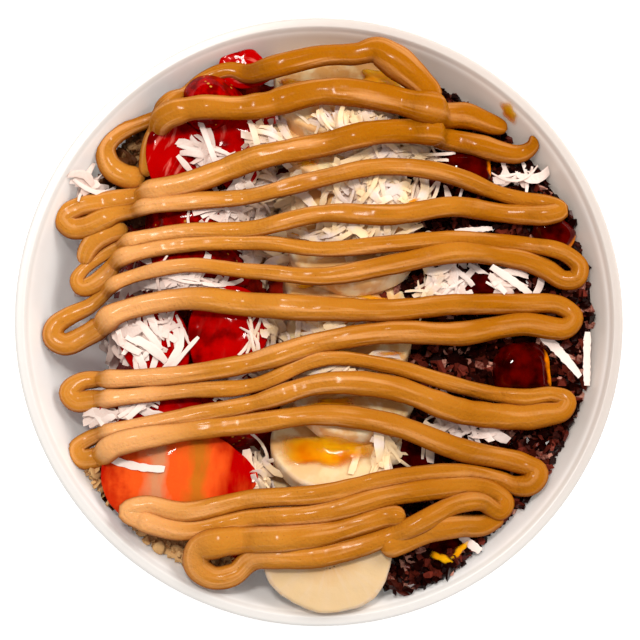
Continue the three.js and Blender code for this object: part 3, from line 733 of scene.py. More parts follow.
def make_acai(colours):
    """Rings from the floor up the inside of the wall to the acai's level, then inwards
    over its uneven top."""
    angle = around(ACAI_COLUMNS)
    reach = np.linspace(INNER_FLOOR_RADIUS, INNER_RIM_RADIUS, 300)[:, None]
    buried = wall_level(reach) < acai_top(reach * np.cos(angle), reach * np.sin(angle))
    level = wall_level(reach[np.argmin(buried, axis=0), 0])
    base = FLOOR_THICKNESS + 0.4
    rise = np.linspace(0, 1, 12)[:, None]
    z = base + (level - base) * rise
    radius = wall_radius(z) - CLEARANCE
    side = np.stack([radius * np.cos(angle), radius * np.sin(angle), z], -1)
    share = np.linspace(1, 0.02, 70)[1:, None]
    x, y = radius[-1] * share * np.cos(angle), radius[-1] * share * np.sin(angle)
    top = np.stack([x, y, acai_top(x, y)], -1)
    under = side[:1] * np.array([0.1, 0.1, 1])
    rings = np.concatenate([under, side, top])
    piece("acai_puree", shells(rings[None]), acai_puree(colours), "acai", ["acai"])


# ---------------------------------------------------------------- bananas
BANANA_LEAN = 31                # from lying flat, in degrees
BANANA_THICKNESS = 6.6
BANANA_ROUND = 1.1              # radius of the cut edges
BANANA_OVAL = 0.93              # height for width
BANANA_FIRST_Y = 62
BANANA_PITCH = (BANANA_THICKNESS + 0.3) / sin(radians(BANANA_LEAN))
# Of each slice down the row: its middle across the row, its width and its turn. The last
# slice lies flat, out to the wall, and the one before leans less, under its edge.
BANANA_ROW = [(5, 36, 6), (6, 35, -8), (13, 34, 5), (9, 36, 9), (8, 35, -6),
              (8, 34, 4), (9, 34, -7), (4, 35, 6), (3, 35, -3), (1.6, 33.6, 4)]
# Of the last two: its place down the row, its top and its lean.
BANANA_END = {8: (-46.2, 53.3, 22), 9: (-60.9, 60.4, 0)}


def banana_slice(width, number):
    """Rows run from the middle of the underside out to the rounded rim, up it and back in
    over the cut face. The outline is a soft triangle, and the rim is finely fluted."""
    half, radius = BANANA_THICKNESS / 2, width / 2
    inner = radius - BANANA_ROUND
    profile = np.concatenate([
        np.stack([np.linspace(0.5, inner, 8), np.full(8, -half)], -1),
        arc((inner, -half + BANANA_ROUND), BANANA_ROUND, -75, 0, 5),
        arc((inner, half - BANANA_ROUND), BANANA_ROUND, 0, 75, 5),
        np.stack([np.linspace(inner, 0.5, 26), np.full(26, half)], -1)])
    angle = around(BANANA_COLUMNS)
    lobes = 1 + 0.025 * np.cos(3 * angle + number) + 0.012 * np.cos(7 * angle + 2.1 * number)
    spread = profile[:, :1] * lobes
    x, y = spread * np.cos(angle), spread * np.sin(angle) * BANANA_OVAL
    z = np.repeat(profile[:, 1:], len(angle), axis=1)
    local = np.stack([x / radius, y / radius / BANANA_OVAL, z / half], -1)
    rings = np.stack([x, y, z], -1)
    flutes = random_field(rings * np.array([1, 1, 0.2]) + 50 * number, 1.6, 11)
    lumps = random_field(rings + 50 * number, 4.5, 12)
    outward = smooth(0.9, 1, profile[:, :1] / radius)
    rings[..., :2] *= (1 + 0.008 * outward * flutes)[..., None]
    rings[..., 2] += np.sign(z) * (0.22 * lumps - 0.35 * smooth(0.5, 0, profile[:, :1] / radius))
    return rings, local


def make_bananas(colours):
    """Slices down the row, each leaning on the next, and the last lying flat."""
    material = banana_flesh(colours)
    for number, (x, width, turn) in enumerate(BANANA_ROW):
        rings, local = banana_slice(width, number)
        usual = BANANA_FIRST_Y - number * BANANA_PITCH, BANANA_TOP, BANANA_LEAN
        y, top, lean = BANANA_END.get(number, usual)
        drop = width / 2 * BANANA_OVAL * sin(radians(lean)) + BANANA_THICKNESS / 2 * cos(radians(lean))
        rings = turned(rings, x=-lean, z=turn) + (x, y, top - drop)
        piece(f"banana_slice_{number + 1}", shells(inside_bowl(rings)[None]), material, "banana",
              [f"banana_{number + 1}"], laid=True, local=for_points(local))


# ---------------------------------------------------------------- strawberries
FACE_CROWN = 0.09               # how much the cut face bulges, for its depth
FACE_DOWN = 180                 # roll of a half whose skin is up
PLAIN_VEINS = 0.04              # how strongly pale veins show
VEINED = {8: 0.8, 9: 0.55, 11: 0.6}
BANDED = 1                      # the half with honey and paler bands across it
# Of each: the middle of its cut face with its depth below the strawberries' top, its
# length, width and depth, and its lean, roll and turn.
STRAWBERRIES = [
    ((-37, -41, 1.6), (41, 27, 12.5), (2, 4, 88)),
    ((-43, -24, 2.4), (30, 20, 11), (3, 5, 84)),
    ((-23, -24, 12.5), (24, 22, 12), (0, FACE_DOWN, 70)),
    ((-25, -6, 1.8), (30, 21, 12), (0, -5, -12)),
    ((-43, -8, 3), (26, 18, 10), (0, 8, 20)),
    ((-34, 14, 12.5), (32, 22, 12), (0, FACE_DOWN, 80)),
    ((-32, 27, 12.6), (30, 21, 12), (0, FACE_DOWN, 96)),
    ((-39.4, 43.4, 2.4), (18.5, 14.5, 9.5), (2, 12, -24)),
    ((-23, 46, 2.6), (25, 19, 11), (0, -8, 5)),
    ((-28, 57.3, 8), (19.5, 16, 12.6), (0, FACE_DOWN, 84)),
    ((-19.8, 67, 4.4), (15, 11, 8), (4, 0, 78)),
]


def half_strawberry(length, width, depth, number):
    """Half an ovoid, tapered to a tip at -Y: rows run along its length, columns round it,
    and the upper side is pressed nearly flat as the cut face."""
    along = -np.cos(np.linspace(0, pi, STRAWBERRY_ROWS + 2)[1:-1])[:, None]
    angle = around(STRAWBERRY_COLUMNS)
    girth = np.sqrt(1 - along ** 2) * (1 + 0.3 * along - 0.14 * along ** 2)
    wobble = 1 + 0.03 * np.cos(2 * angle + number) + 0.02 * np.cos(5 * angle + 3 * number)
    up = np.sin(angle)
    height = np.where(up > 0, FACE_CROWN * np.abs(up) ** 0.7, up)
    x = width / 2 * girth * np.cos(angle) * wobble
    z = depth * girth * height
    y = length / 2 * along + 0 * x
    rings = np.stack([x, y, z], -1)
    local = np.stack([2 * x / width, y * 2 / length, z / depth], -1)
    lumps = 0.35 * random_field(rings + 40 * number, 4, 21) + 0.12 * random_field(rings, 1.3, 22)
    rings[..., 2] += lumps
    rings[..., 0] += 0.6 * lumps * np.cos(angle)
    return rings, local


def make_strawberries(colours):
    """Halves leaned, rolled and turned as the table says, with their faces up or down."""
    material = strawberry_flesh(colours)
    for number, ((x, y, below), size, (lean, roll, turn)) in enumerate(STRAWBERRIES):
        rings, local = half_strawberry(*size, number)
        rings = turned(rings, x=lean, y=roll, z=turn) + (x, y, STRAWBERRY_TOP - below)
        own = for_points(local)
        piece(f"strawberry_half_{number + 1}", shells(inside_bowl(rings)[None]), material, "strawberry",
              [f"strawberry_{number + 1}"], laid=True, local=own,
              pale=np.full(len(own), VEINED.get(number + 1, PLAIN_VEINS)),
              banded=np.full(len(own), float(number + 1 == BANDED)))


# ---------------------------------------------------------------- glazed fruit
GLAZED_BOXINESS = 0.8           # 1 is a plain ball, less is squarer
# Of each: its middle, its half sizes and its turn.
GLAZED_FRUIT = [
    ((39, 41, 48), (7.5, 5.5, 5), 8),
    ((63, 23.5, 49), (6, 4.6, 4.6), -35),
    ((43, 9.5, 48), (7, 5.2, 5), 12),
    ((54.5, -13.5, 47.6), (8, 8.4, 5.4), 4),
    ((26, -36, 49), (9, 6.5, 5.5), -14),
    ((33, -61.5, 49.4), (7, 5.5, 4.6), 20),
]


def ball(columns, rows):
    """Directions over a ball, row by row from its lowest point to its highest."""
    climb = np.linspace(-pi / 2, pi / 2, rows + 2)[1:-1, None]
    angle = around(columns)
    return np.stack([np.cos(climb) * np.cos(angle), np.cos(climb) * np.sin(angle),
                     np.sin(climb) + 0 * angle], -1)


def make_glazed_fruit(colours):
    """Balls stretched to each piece's half sizes, with a wrinkled, knobbly skin."""
    material = glazed_skin(colours)
    directions = ball(GLAZED_COLUMNS, GLAZED_ROWS)
    boxy = np.sign(directions) * np.abs(directions) ** GLAZED_BOXINESS
    for number, (place, half, turn) in enumerate(GLAZED_FRUIT):
        knobs = 0.1 * random_field(directions + 9 * number, 0.6, 31)
        wrinkles = 0.02 * random_field(directions + 9 * number, 0.25, 32)
        rings = boxy * (1 + knobs + wrinkles)[..., None] * np.array(half)
        rings = inside_bowl(turned(rings, z=turn) + place)
        piece(f"glazed_fruit_piece_{number + 1}", shells(rings[None]), material, "glazed_fruit",
              [f"glazed_fruit_{number + 1}"], laid=True, local=for_points(directions))


# ---------------------------------------------------------------- heaps
HEAP_STEP = 1.0
HEAP_COVER = 1.4                # bits show where less than this lies over a heap
BANANA_SIDE = 15                # no nibs left of this x, and at the top of the bowl
BANANA_SIDE_SLANT = 9           # this much further right


def heap(low, high, top, bottom):
    """A closed block over a rectangle: each row runs along its top at one y and back along
    its bottom. Where something already stands higher, the top sinks to the bottom."""
    x = np.linspace(low[0], high[0], int((high[0] - low[0]) / HEAP_STEP))
    y = np.linspace(low[1], high[1], int((high[1] - low[1]) / HEAP_STEP))
    x, y = np.meshgrid(x, y)
    level = top(x, y)
    level = np.where(RELIEF.at(x, y) > level + 0.3, bottom + 0.4, level)
    upper = np.stack([x, y, level], -1)
    lower = np.stack([x, y, np.full_like(x, bottom)], -1)
    return inside_bowl(np.concatenate([upper, lower[:, ::-1]], axis=1))


def open_spots(random, low, high, spacing, top):
    """Jittered grid places where a heap's own top is what shows, and none on the far side
    of the bananas from their heap."""
    x, y = np.meshgrid(np.arange(low[0], high[0], spacing), np.arange(low[1], high[1], spacing))
    x = x.ravel() + random.uniform(-0.6, 0.6, x.size) * spacing
    y = y.ravel() + random.uniform(-0.6, 0.6, y.size) * spacing
    level = top(x, y)
    shown = (RELIEF.at(x, y) < level + HEAP_COVER) & (np.hypot(x, y) < wall_radius(level + 1) - 1)
    shown &= (x < 0) | (x > BANANA_SIDE + BANANA_SIDE_SLANT * smooth(50, 62, y))
    return x[shown], y[shown]


def chunks(random, count, size, flatness):
    """Angular broken bits: two jittered five-sided rings and a tip at each end."""
    angle = around(5)
    ring = np.stack([np.cos(angle), np.sin(angle), 0 * angle], -1)
    rings = np.stack([ring - (0, 0, 0.6), ring + (0, 0, 0.6)])
    rings = rings + random.uniform(-0.34, 0.34, (count, 2, 5, 3))
    stretch = np.stack([random.uniform(0.8, 1.5, count), random.uniform(0.6, 1.0, count),
                        random.uniform(*flatness, count)], -1)
    return rings * stretch[:, None, None] * size[:, None, None, None] / 2


def strewn(random, rings, x, y, z, tilt):
    """Turns each bit at random, up to the given tilt, and puts it in its place."""
    count = len(x)
    turn = spins(random.uniform(0, 2 * pi, count), random.normal(0, tilt, count),
                 random.normal(0, tilt, count))
    bits = np.einsum("nij,nrcj->nrci", turn, rings)
    return bits + np.stack([x, y, z], -1)[:, None, None]


def tinted(surface, tint):
    """One tint for each of a surface's shells, repeated for its points."""
    return np.repeat(tint, len(surface[0]) // len(tint))


NIB_HEAP = ((17, -70.5), (78, 70))      # its low and high corner in plan
NIB_BOTTOM = 44
NIB_CORE_DEPTH = 1.6            # the core lies this far under the nibs' level
NIB_LAYERS = (0.0, 1.1)         # how far over it each layer of nibs lies
NIB_SPACING = 0.62              # of the nibs' size


def make_cacao(sizes, colours):
    """A lumpy core with two layers of loose angular nibs over it."""
    material = cacao_finish(colours)
    random = np.random.default_rng(CACAO_SEED)
    low, high = NIB_HEAP

    def core_top(x, y):
        return nib_level(x, y) - NIB_CORE_DEPTH

    surface = shells(heap(low, high, core_top, NIB_BOTTOM)[None])
    tint = 0.12 + 0.3 * random_field(surface[0], 2, 41)
    piece("cacao_core", surface, material, "cacao", ["cacao_nibs"], laid=True, tint=tint)
    nib = sizes.nib / MM
    layers, tints = [], []
    for lift in NIB_LAYERS:
        x, y = open_spots(random, low, high, nib * NIB_SPACING, core_top)
        size = nib * random.uniform(0.55, 1.35, len(x))
        bits = chunks(random, len(x), size, (0.35, 0.9))
        z = core_top(x, y) + lift + random.uniform(-0.6, 0.7, len(x))
        layers.append(strewn(random, bits, x, y, z, 0.8))
        tints.append(random.uniform(0, 1, len(x)) ** 1.6)
    surface = shells(inside_bowl(np.concatenate(layers)))
    tint = tinted(surface, np.concatenate(tints))
    piece("cacao_bits", surface, material, "cacao", flat=True, laid=True, tint=tint)


# Of each: its low and high corner in plan, its level, its bank at the wall, and how much
# darker it is.
GRANOLA_HEAPS = {
    "lower": ((-68, -76), (-24, -38), 49.6, 3.4, -0.5),
    "upper": ((-70, 26), (-44, 56), 45.5, 2, 0.6),
}
GRANOLA_BOTTOM = 34
FLAKE_SPACING = 3.2
CRUMB_SPACING = 1.9
FLAKE_SHAPE = (1, 0.75, 0.2)


def make_granola(colours):
    """Two low heaps of oats: a core, flakes like little pressed discs, and crumbs."""
    material = granola_finish(colours)
    random = np.random.default_rng(GRANOLA_SEED)
    flakes, crumbs = [], []
    for name, (low, high, level, rise, darker) in GRANOLA_HEAPS.items():
        def top(x, y, level=level, rise=rise):
            return level - 1 + rise * bank(x, y) + 0.8 * random_field(in_plan(x, y), 4, 51)

        surface = shells(heap(low, high, top, GRANOLA_BOTTOM)[None])
        tint = 0.5 + 0.5 * random_field(surface[0], 2, 52) + darker
        piece(f"granola_core_{name}", surface, material, "granola", [f"granola_{name}"], laid=True,
              tint=tint)
        for bits, spacing, lift in ((flakes, FLAKE_SPACING, 1.2), (crumbs, CRUMB_SPACING, 1.6)):
            x, y = open_spots(random, low, high, spacing, top)
            bits.append(np.stack([x, y, top(x, y) + random.uniform(0.2, lift, len(x))], -1))
    x, y, z = np.concatenate(flakes).T
    tint = random.uniform(0, 1, len(x)) + np.where(y > 0, 0.6, -0.5)
    discs = ball(FLAKE_COLUMNS, FLAKE_ROWS) * np.array(FLAKE_SHAPE)
    rings = discs * (1 + 0.25 * random.uniform(-1, 1, (len(x), FLAKE_ROWS, FLAKE_COLUMNS, 1)))
    rings = rings * random.uniform(1.6, 2.8, len(x))[:, None, None, None]
    surface = shells(inside_bowl(strewn(random, rings, x, y, z, 0.5)))
    piece("oat_flakes", surface, material, "granola", tint=tinted(surface, tint))
    x, y, z = np.concatenate(crumbs).T
    tint = random.uniform(0, 1, len(x)) + np.where(y > 0, 0.6, -0.3)
    rings = chunks(random, len(x), random.uniform(0.9, 2.1, len(x)), (0.5, 1))
    surface = shells(inside_bowl(strewn(random, rings, x, y, z, 1)))
    piece("oat_crumbs", surface, material, "granola", flat=True, tint=tinted(surface, tint))


# ---------------------------------------------------------------- thin pools
POOL_COLUMNS = 64
POOL_UPPER_ROWS = 20
POOL_SHARES = np.concatenate([np.linspace(0.05, 1, POOL_UPPER_ROWS), np.linspace(0.97, 0.05, 8)])
POOL_REACH = 2                  # the ground under a pool is averaged this far to each side


def pool(x, y, half_x, half_y, thick, turn, number):
    """A lens draped on the relief: rows run out over its rounded top to a wavy edge and
    back in underneath. It is turned by an angle in degrees."""
    share = POOL_SHARES[:, None]
    upper = np.arange(len(share))[:, None] < POOL_UPPER_ROWS
    angle = around(POOL_COLUMNS)
    edge = 1 + 0.18 * np.cos(2 * angle + number) + 0.12 * np.cos(5 * angle + 2 * number)
    right, up = half_x * share * edge * np.cos(angle), half_y * share * edge * np.sin(angle)
    px = x + right * cos(radians(turn)) - up * sin(radians(turn))
    py = y + right * sin(radians(turn)) + up * cos(radians(turn))
    near = np.linspace(-POOL_REACH, POOL_REACH, 5)
    ground = 0.15 + np.mean([RELIEF.at(px + i, py + k) for i, k in product(near, repeat=2)], axis=0)
    height = np.where(upper, thick * np.sqrt(np.clip(1 - share ** 2, 0, 1)), -0.3)
    return inside_bowl(np.stack([px, py, ground + height], -1))


# ---------------------------------------------------------------- coconut
# Of each cluster of shreds: its middle, its half sizes, how many, and the heading of
# its shreds with how much that varies, in degrees.
SHRED_CLUSTERS = [
    ((-49, -6), (12, 7), 44, -68, 34),
    ((-41, 9), (15, 3.2), 46, 10, 50),
    ((-12, -3), (4, 4), 10, -80, 16),
    ((9, 51), (13, 4), 42, -62, 22),
    ((17, 44), (13, 2.8), 26, 20, 30),
    ((15, 34), (16, 4), 46, 80, 30),
    ((8, 22), (15, 3), 34, 15, 40),
    ((32, 10), (6, 5), 34, 60, 50),
    ((50, 11), (6, 4), 12, -40, 40),
    ((-48, -22.5), (6, 1.6), 12, 0, 30),
    ((-16, -39), (3, 6), 16, -75, 25),
    ((16.5, -34), (3, 4), 16, 80, 60),
    ((33.5, -27.5), (6, 4.5), 22, -40, 50),
    ((-30, 43), (4.5, 5), 18, -60, 40),
    ((-13, 48), (4, 5), 12, -70, 25),
    ((-10, 37), (6, 3), 14, 10, 50),
    ((-22, 27), (9, 4.5), 26, 15, 40),
    ((-14, -5), (7, 5), 16, -70, 22),
    ((4, -2.5), (9, 2), 14, 10, 60),
    ((2, -13), (14, 2.6), 22, 12, 20),
    ((-24, -17), (8, 3), 12, 20, 18),
    ((42, -27), (5, 3.5), 8, -50, 40),
    ((27, 47), (5, 3), 8, -40, 40),
    ((-61, 35), (3, 2), 9, 40, 60),
    ((-58, -26), (4, 2.5), 14, 10, 40),
    ((-15, 18), (5, 6), 22, 60, 50),
    ((-14, -16), (4, 4), 14, -60, 40),
    ((-20, 35), (6, 3), 14, 20, 40),
    ((54, 39), (5, 2.5), 8, 30, 50),
    ((-14, 35), (2.5, 5), 22, 5, 25),
    ((-7.5, 31), (3, 2.5), 24, 0, 40),
    ((-14, 23), (2.5, 5), 18, -10, 25),
    ((-15, 46), (2.5, 4), 14, 20, 30),
]
# Mats of fine coconut under them on the bananas: the middle and half sizes of each.
COCONUT_MATS = [
    ((9, 51), (12, 3.4)),
    ((17, 44), (11, 2.4)),
    ((14, 34), (14, 3.8)),
    ((8, 22), (14, 2.8)),
    ((-13, 28), (5, 7)),
    ((2, -13), (12, 2.2)),
]
MAT_THICKNESS = 0.7
COCONUT_AMOUNT = 0.78           # share of each count that each of the two layers gets
SMALL_SHREDS = 0.3              # share of the shreds that are half as long
SHRED_CURL = 0.12
SHRED_LIFT = 0.25
SHRED_HALF_THICKNESS = (0.06, 0.1)
SHRED_SECTION = np.array([[1, 0], [0.6, 1], [-0.6, 1], [-1, 0], [-0.6, -1], [0.6, -1]])
STEEPEST_SHRED = 0.7            # rise over run
# Long single strips: where each starts and ends, and its width.
STRIPS = [
    ((59.2, -2.9), (69.7, -14.7), 2.6),
    ((71.6, -2.9), (71.2, -17.3), 2.0),
    ((-57.4, -36), (-41, -39.6), 2.0),
    ((10, -33), (7.4, -41), 1.8),
    ((45, 14.5), (57, 7), 2.0),
    ((35, 23.5), (47, 25), 1.4),
    ((36, -56), (42, -61), 2.2),
]
STRIP_CURL = 0.03
STRIP_ROWS = 21
STRIP_CLEARANCE = 0.1
STRIP_REACH = 3                 # rings to each side over which its lift is shared out


def shred_rings(random, length, width, curl, rows):
    """Strips of six-sided section: the middle line is an arc, the width narrows at the ends,
    and each strip is twisted a little along its length."""
    count = len(length)
    t = np.linspace(-1, 1, rows)
    twist = random.normal(0, 0.3, count)[:, None] * t
    ragged = 1 + random.uniform(-0.14, 0.14, (count, rows))
    half = width[:, None] / 2 * (1 - 0.25 * np.abs(t) ** 6) * ragged
    thick = random.uniform(*SHRED_HALF_THICKNESS, count)[:, None] * (1 - 0.5 * t ** 4)
    across = SHRED_SECTION[:, 0] * half[..., None]
    above = SHRED_SECTION[:, 1] * thick[..., None]
    y = across * np.cos(twist)[..., None] - above * np.sin(twist)[..., None]
    z = across * np.sin(twist)[..., None] + above * np.cos(twist)[..., None]
    x = (length[:, None] / 2 * t)[..., None] + 0 * y
    bow = curl[:, None] * length[:, None] * (t ** 2 - 0.5)
    arch = random.uniform(-0.05, 0.12, count)[:, None] * length[:, None] * (1 - t ** 2)
    return np.stack([x, y + bow[..., None], z + arch[..., None]], -1)


def rest_on(x, y, heading, length):
    """Level and pitch of straight bits laid on the relief: they touch it near both ends,
    or ride on whatever stands higher between."""
    along = length[:, None] / 2 * np.linspace(-0.85, 0.85, 5)
    level = RELIEF.at(x[:, None] + np.cos(heading)[:, None] * along,
                      y[:, None] + np.sin(heading)[:, None] * along)
    slope = (level[:, -2:].mean(1) - level[:, :2].mean(1)) / (0.6 * length)
    slope = np.clip(slope, -STEEPEST_SHRED, STEEPEST_SHRED)
    lift = (level - slope[:, None] * along).max(axis=1)
    return 0.6 * lift + 0.4 * level.mean(axis=1), np.arctan(slope)


def lay_shreds(random, x, y, heading, length, width, curl, rows=9):
    """Shreds resting on what lies below them, bent sideways at random by up to the curl."""
    level, pitch = rest_on(x, y, heading, length)
    rings = shred_rings(random, length, width, random.normal(0, curl, len(x)), rows)
    turn = spins(heading, pitch, random.normal(0, 0.16, len(x)))
    rings = np.einsum("nij,nrcj->nrci", turn, rings)
    return inside_bowl(rings + np.stack([x, y, level + SHRED_LIFT], -1)[:, None, None])


def draped(rings):
    """Strips lifted clear of what they would sink into. Each ring's lift is the highest one
    needed near by, and those are then averaged along the strip."""
    needed = RELIEF.at(rings[..., 0], rings[..., 1]) + STRIP_CLEARANCE - rings[..., 2]
    lift = window(window(needed.max(axis=2), STRIP_REACH, np.max), STRIP_REACH, np.mean)
    return rings + np.maximum(lift, 0)[..., None, None] * np.array([0, 0, 1])


def make_coconut(sizes, colours):
    """Mats on the bananas, then the clusters in two layers, then the single strips."""
    material = coconut_finish(colours)
    random = np.random.default_rng(COCONUT_SEED)
    mats = np.stack([pool(*middle, *half, MAT_THICKNESS, 0, number)
                     for number, (middle, half) in enumerate(COCONUT_MATS)])
    surface = shells(mats)
    piece("coconut_mats", surface, material, "coconut", laid=True,
          tint=random.uniform(0, 1, len(surface[0])))
    made = []
    for _ in range(2):
        for (x, y), (half_x, half_y), count, heading, spread in SHRED_CLUSTERS:
            count = int(count * COCONUT_AMOUNT)
            off = random.normal(0, 0.5, (2, count))
            small = random.uniform(0, 1, count) < SMALL_SHREDS
            length = sizes.shred_length / MM * random.uniform(0.55, 1.3, count)
            length = length * np.where(small, 0.5, 1)
            width = sizes.shred_width / MM * (0.35 + 0.9 * random.uniform(0, 1, count) ** 1.5)
            turn = np.radians(heading + random.normal(0, spread, count) * np.where(small, 2, 1))
            made.append(lay_shreds(random, x + half_x * off[0], y + half_y * off[1], turn,
                                   length, width, SHRED_CURL))
        surface = shells(np.concatenate(made))
        RELIEF.add(surface[0], surface[1])
    tint = random.uniform(0, 1, sum(map(len, made)))
    piece("coconut_shreds", surface, material, "coconut",
          [f"coconut_{number}" for number in range(1, 5)], flat=True, tint=tinted(surface, tint))
    start, end, width = (np.array(column) for column in zip(*STRIPS))
    (x, y), (right, up) = ((start + end) / 2).T, (end - start).T
    rings = lay_shreds(random, x, y, np.arctan2(up, right), np.hypot(right, up), width, STRIP_CURL,
                       STRIP_ROWS)
    surface = shells(draped(rings))
    piece("coconut_strips", surface, material, "coconut", flat=True, laid=True,
          tint=tinted(surface, random.uniform(0, 0.5, len(STRIPS))))


# ---------------------------------------------------------------- honey
# Of each pool: its middle, its half sizes, how thick it stands and its turn in degrees.
HONEY_POOLS = [
    ((0.5, -34.4), (11.5, 5.6), 1.1, 0),
    ((20.5, -12), (3.4, 2), 0.8, 0),
    ((-8, 63.5), (7, 2.2), 0.8, 0),
    ((16.4, 63.4), (7, 3.4), 1.4, -24),
    ((3, -22), (10, 2.2), 0.8, 0),
    ((36.4, -60.6), (3.6, 1.1), 1.1, 38),
    ((31.6, -62.6), (3.2, 1.4), 1.1, -24),
    ((5, 39), (6, 2), 0.7, 0),
    ((14, 5.6), (11, 1.6), 0.6, -4),
    ((-4, 41), (8, 2), 0.6, 12),
    ((-6, 23), (6, 1.8), 0.6, -10),
    ((-4, 9), (7, 2), 0.6, 0),
    ((18, -9), (8, 1.8), 0.6, 0),
    ((24, 31), (4, 2), 0.6, 30),
    ((50.4, 55.8), (5, 1.8), 0.8, -45),
]
HONEY_THICK = 1.1               # a pool as thick as this hides most of what lies below it
HONEY_FADE = 0.9                # how much sooner a thinner one fades, for each millimetre


def make_honey(colours):
    """Pools whose edge attribute goes from 0 in the middle to 1 at the edge, and is higher
    all over in a thin pool, which is more see-through."""
    rings = np.stack([pool(*middle, *half, thick, turn, number)
                      for number, (middle, half, thick, turn) in enumerate(HONEY_POOLS)])
    edge = np.append(np.repeat(POOL_SHARES, POOL_COLUMNS), [0, 0])
    thin = HONEY_FADE * (HONEY_THICK - np.array([thick for _, _, thick, _ in HONEY_POOLS]))
    piece("honey_pools", shells(rings), honey_finish(colours), "peanut_butter",
          edge=(edge + thin[:, None]).ravel())


# ---------------------------------------------------------------- peanut butter
STATIONS = np.array([-54, -36, -18, 0, 18, 36, 54])     # x where each pass's y is given
LEFTWARD, RIGHTWARD = -1, 1
# Of each pass over the bowl: its way, widths spread evenly along it, the first station it
# crosses, its y at each station, the points that lead it in, and its turn to the next pass.
TOP_STRAND = [
    (LEFTWARD, (6.4, 7, 8.8, 5.6, 5.6, 3.6, 3.4, 4.4, 6, 6.2), 2, [65.6, 69.4],
     [(27, 56.5), (28.2, 59.2), (25.9, 62.4), (22.2, 65.6), (18.2, 68.6), (14, 71), (9, 70)],
     [(-24.5, 67), (-31.5, 64.6), (-37.5, 60), (-43, 55.4), (-54, 49.8), (-57.4, 45.8), (-56.3, 41.1),
      (-52.4, 38.5), (-47, 38)]),
]
SECOND_STRAND = [
    (RIGHTWARD, (4.2, 5, 6.2, 6.4, 7, 8, 6.4, 4), 1, [54.5, 55.5, 59.7, 57.9],
     [(-46.6, 38.2), (-46.2, 42), (-45.2, 47), (-42.4, 52)],
     [(29, 55), (38.8, 55.5), (46.6, 53.2), (50.8, 52.1)]),
]
LONG_STRAND = [
    (LEFTWARD, (2.4, 5, 6.8, 6, 5.2, 5.6, 5.4), 0, [32, 35.5, 41.9, 45.6, 49.3, 48.6, 45.3],
     [(57.6, 50.4), (57.4, 47.4)],
     [(-65, 29.8), (-68.6, 27.3), (-66.6, 24.6), (-62.5, 24.6), (-57.5, 26.8)]),
    (RIGHTWARD, (4.2, 4.2, 4.4, 4.6, 4.5, 5, 5.5), 0, [28.2, 30.7, 32.5, 36.9, 40.1, 37.9, 33], [],
     [(62, 31.4), (64.4, 29.6), (60.5, 28.4)]),
    (LEFTWARD, (5.4, 5, 4.8, 4.2, 3.5, 3, 3.8, 5, 5.2), 0, [19.5, 23, 23.7, 27.5, 27.2, 29.9, 28.7], [],
     [(-59.5, 16.3), (-63.3, 13.4), (-65, 10.6), (-63.6, 8.6), (-60.4, 9.4), (-57.2, 12)]),
    (RIGHTWARD, (4.4, 3.9, 4.2, 4.5, 4.4, 4.6, 5.8), 0, [15.5, 19.4, 20, 18.2, 19.7, 21.2, 20.7], [],
     [(66, 18), (69.8, 14.6), (69, 11.4), (65.6, 11), (61, 13.8)]),
    (LEFTWARD, (5.6, 5, 4, 3.6, 5, 6, 5.8), 0, [9.4, 13.8, 12.4, 11, 14.1, 17.6, 16.4], [],
     [(-61.6, 3.6), (-67, 0.9), (-70.6, -1.8), (-71, -4.8), (-68, -6.6), (-63, -4.6), (-58, -1.6)]),
    (RIGHTWARD, (5.4, 6.4, 6, 5.4, 5.2, 5.6), 0, [1.2, 5.1, 3.5, 2.4, 2.1, 3.9, 4.6], [],
     [(64.5, 4.2), (68.2, 1), (66, -2)]),
    (LEFTWARD, (5.8, 6, 5.4, 4.8, 4.8, 6, 6), 0, [-16, -14.7, -11.5, -6.3, -3.7, -3.9, -0.9], [],
     [(-59.5, -15.9), (-63.8, -16.6), (-66.6, -19.2), (-64.8, -21.6), (-60.5, -21.4)]),
    (RIGHTWARD, (4.2, 3.8, 4.2, 6.4), 0, [-20.9, -19, -17.6, -10.7, -12.6, -17.6, -20.6], [],
     [(62.5, -19.9), (66.2, -21.4), (64.8, -24.2), (59.5, -25.3)]),
    (LEFTWARD, (6.6, 6.2, 4.6, 4, 4.6, 5.8), 0, [-29.3, -25.7, -22.3, -17.2, -18.2, -24.2, -25.9], [],
     [(-60.5, -31.2), (-64.6, -34.2), (-63.4, -36.8), (-58.6, -36.4)]),
    (RIGHTWARD, (5.8, 5, 5.6, 6.2, 5), 0, [-33.2, -29.7, -27.5, -25.3, -27.8, -34.3, -38.3], [],
     [(57.8, -40.6), (56, -43.8), (52, -44.2)]),
    (LEFTWARD, (4.2, 4.6, 5.2, 5.4), 1, [-50.6, -47.2, -45.8, -41.7, -40.3], [(48, -42.4)],
     [(-46, -48.8), (-50.8, -50.4), (-46, -53)]),
    (RIGHTWARD, (5, 5.4, 5.2, 4.6), 1, [-55.4, -52.4, -50.8, -46.3, -44.2], [],
     [(45, -45.4), (49.2, -48.6), (47.4, -51)]),
    (LEFTWARD, (4.6, 5.4, 6, 7.4), 2, [-62.8, -61.8, -56.6, -48.4], [(42, -48.2)],
     [(-23, -66.8), (-28.6, -67.6), (-32.6, -64.5), (-32, -60.2), (-27, -58.4)]),
    (RIGHTWARD, (7, 5.4, 5), 2, [-57.8, -56.3, -51.6], [], [(21.5, -51.8)]),
]
SHORT_LOBE = [
    (LEFTWARD, (5.5, 6.5), 5, [-54.4], [(48.5, -51.5), (43, -54.4)],
     [(28, -55.3), (21.5, -58), (15, -60.3)]),
]
# A thick run of it between two of the left loops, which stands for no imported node.
RUN = [
    (LEFTWARD, (4.6, 6, 5.8, 4.4), 0, [],
     [(-51.5, 24.4), (-56, 23.4), (-59.8, 21.4), (-62.2, 18.4), (-63.4, 14.6)], []),
]
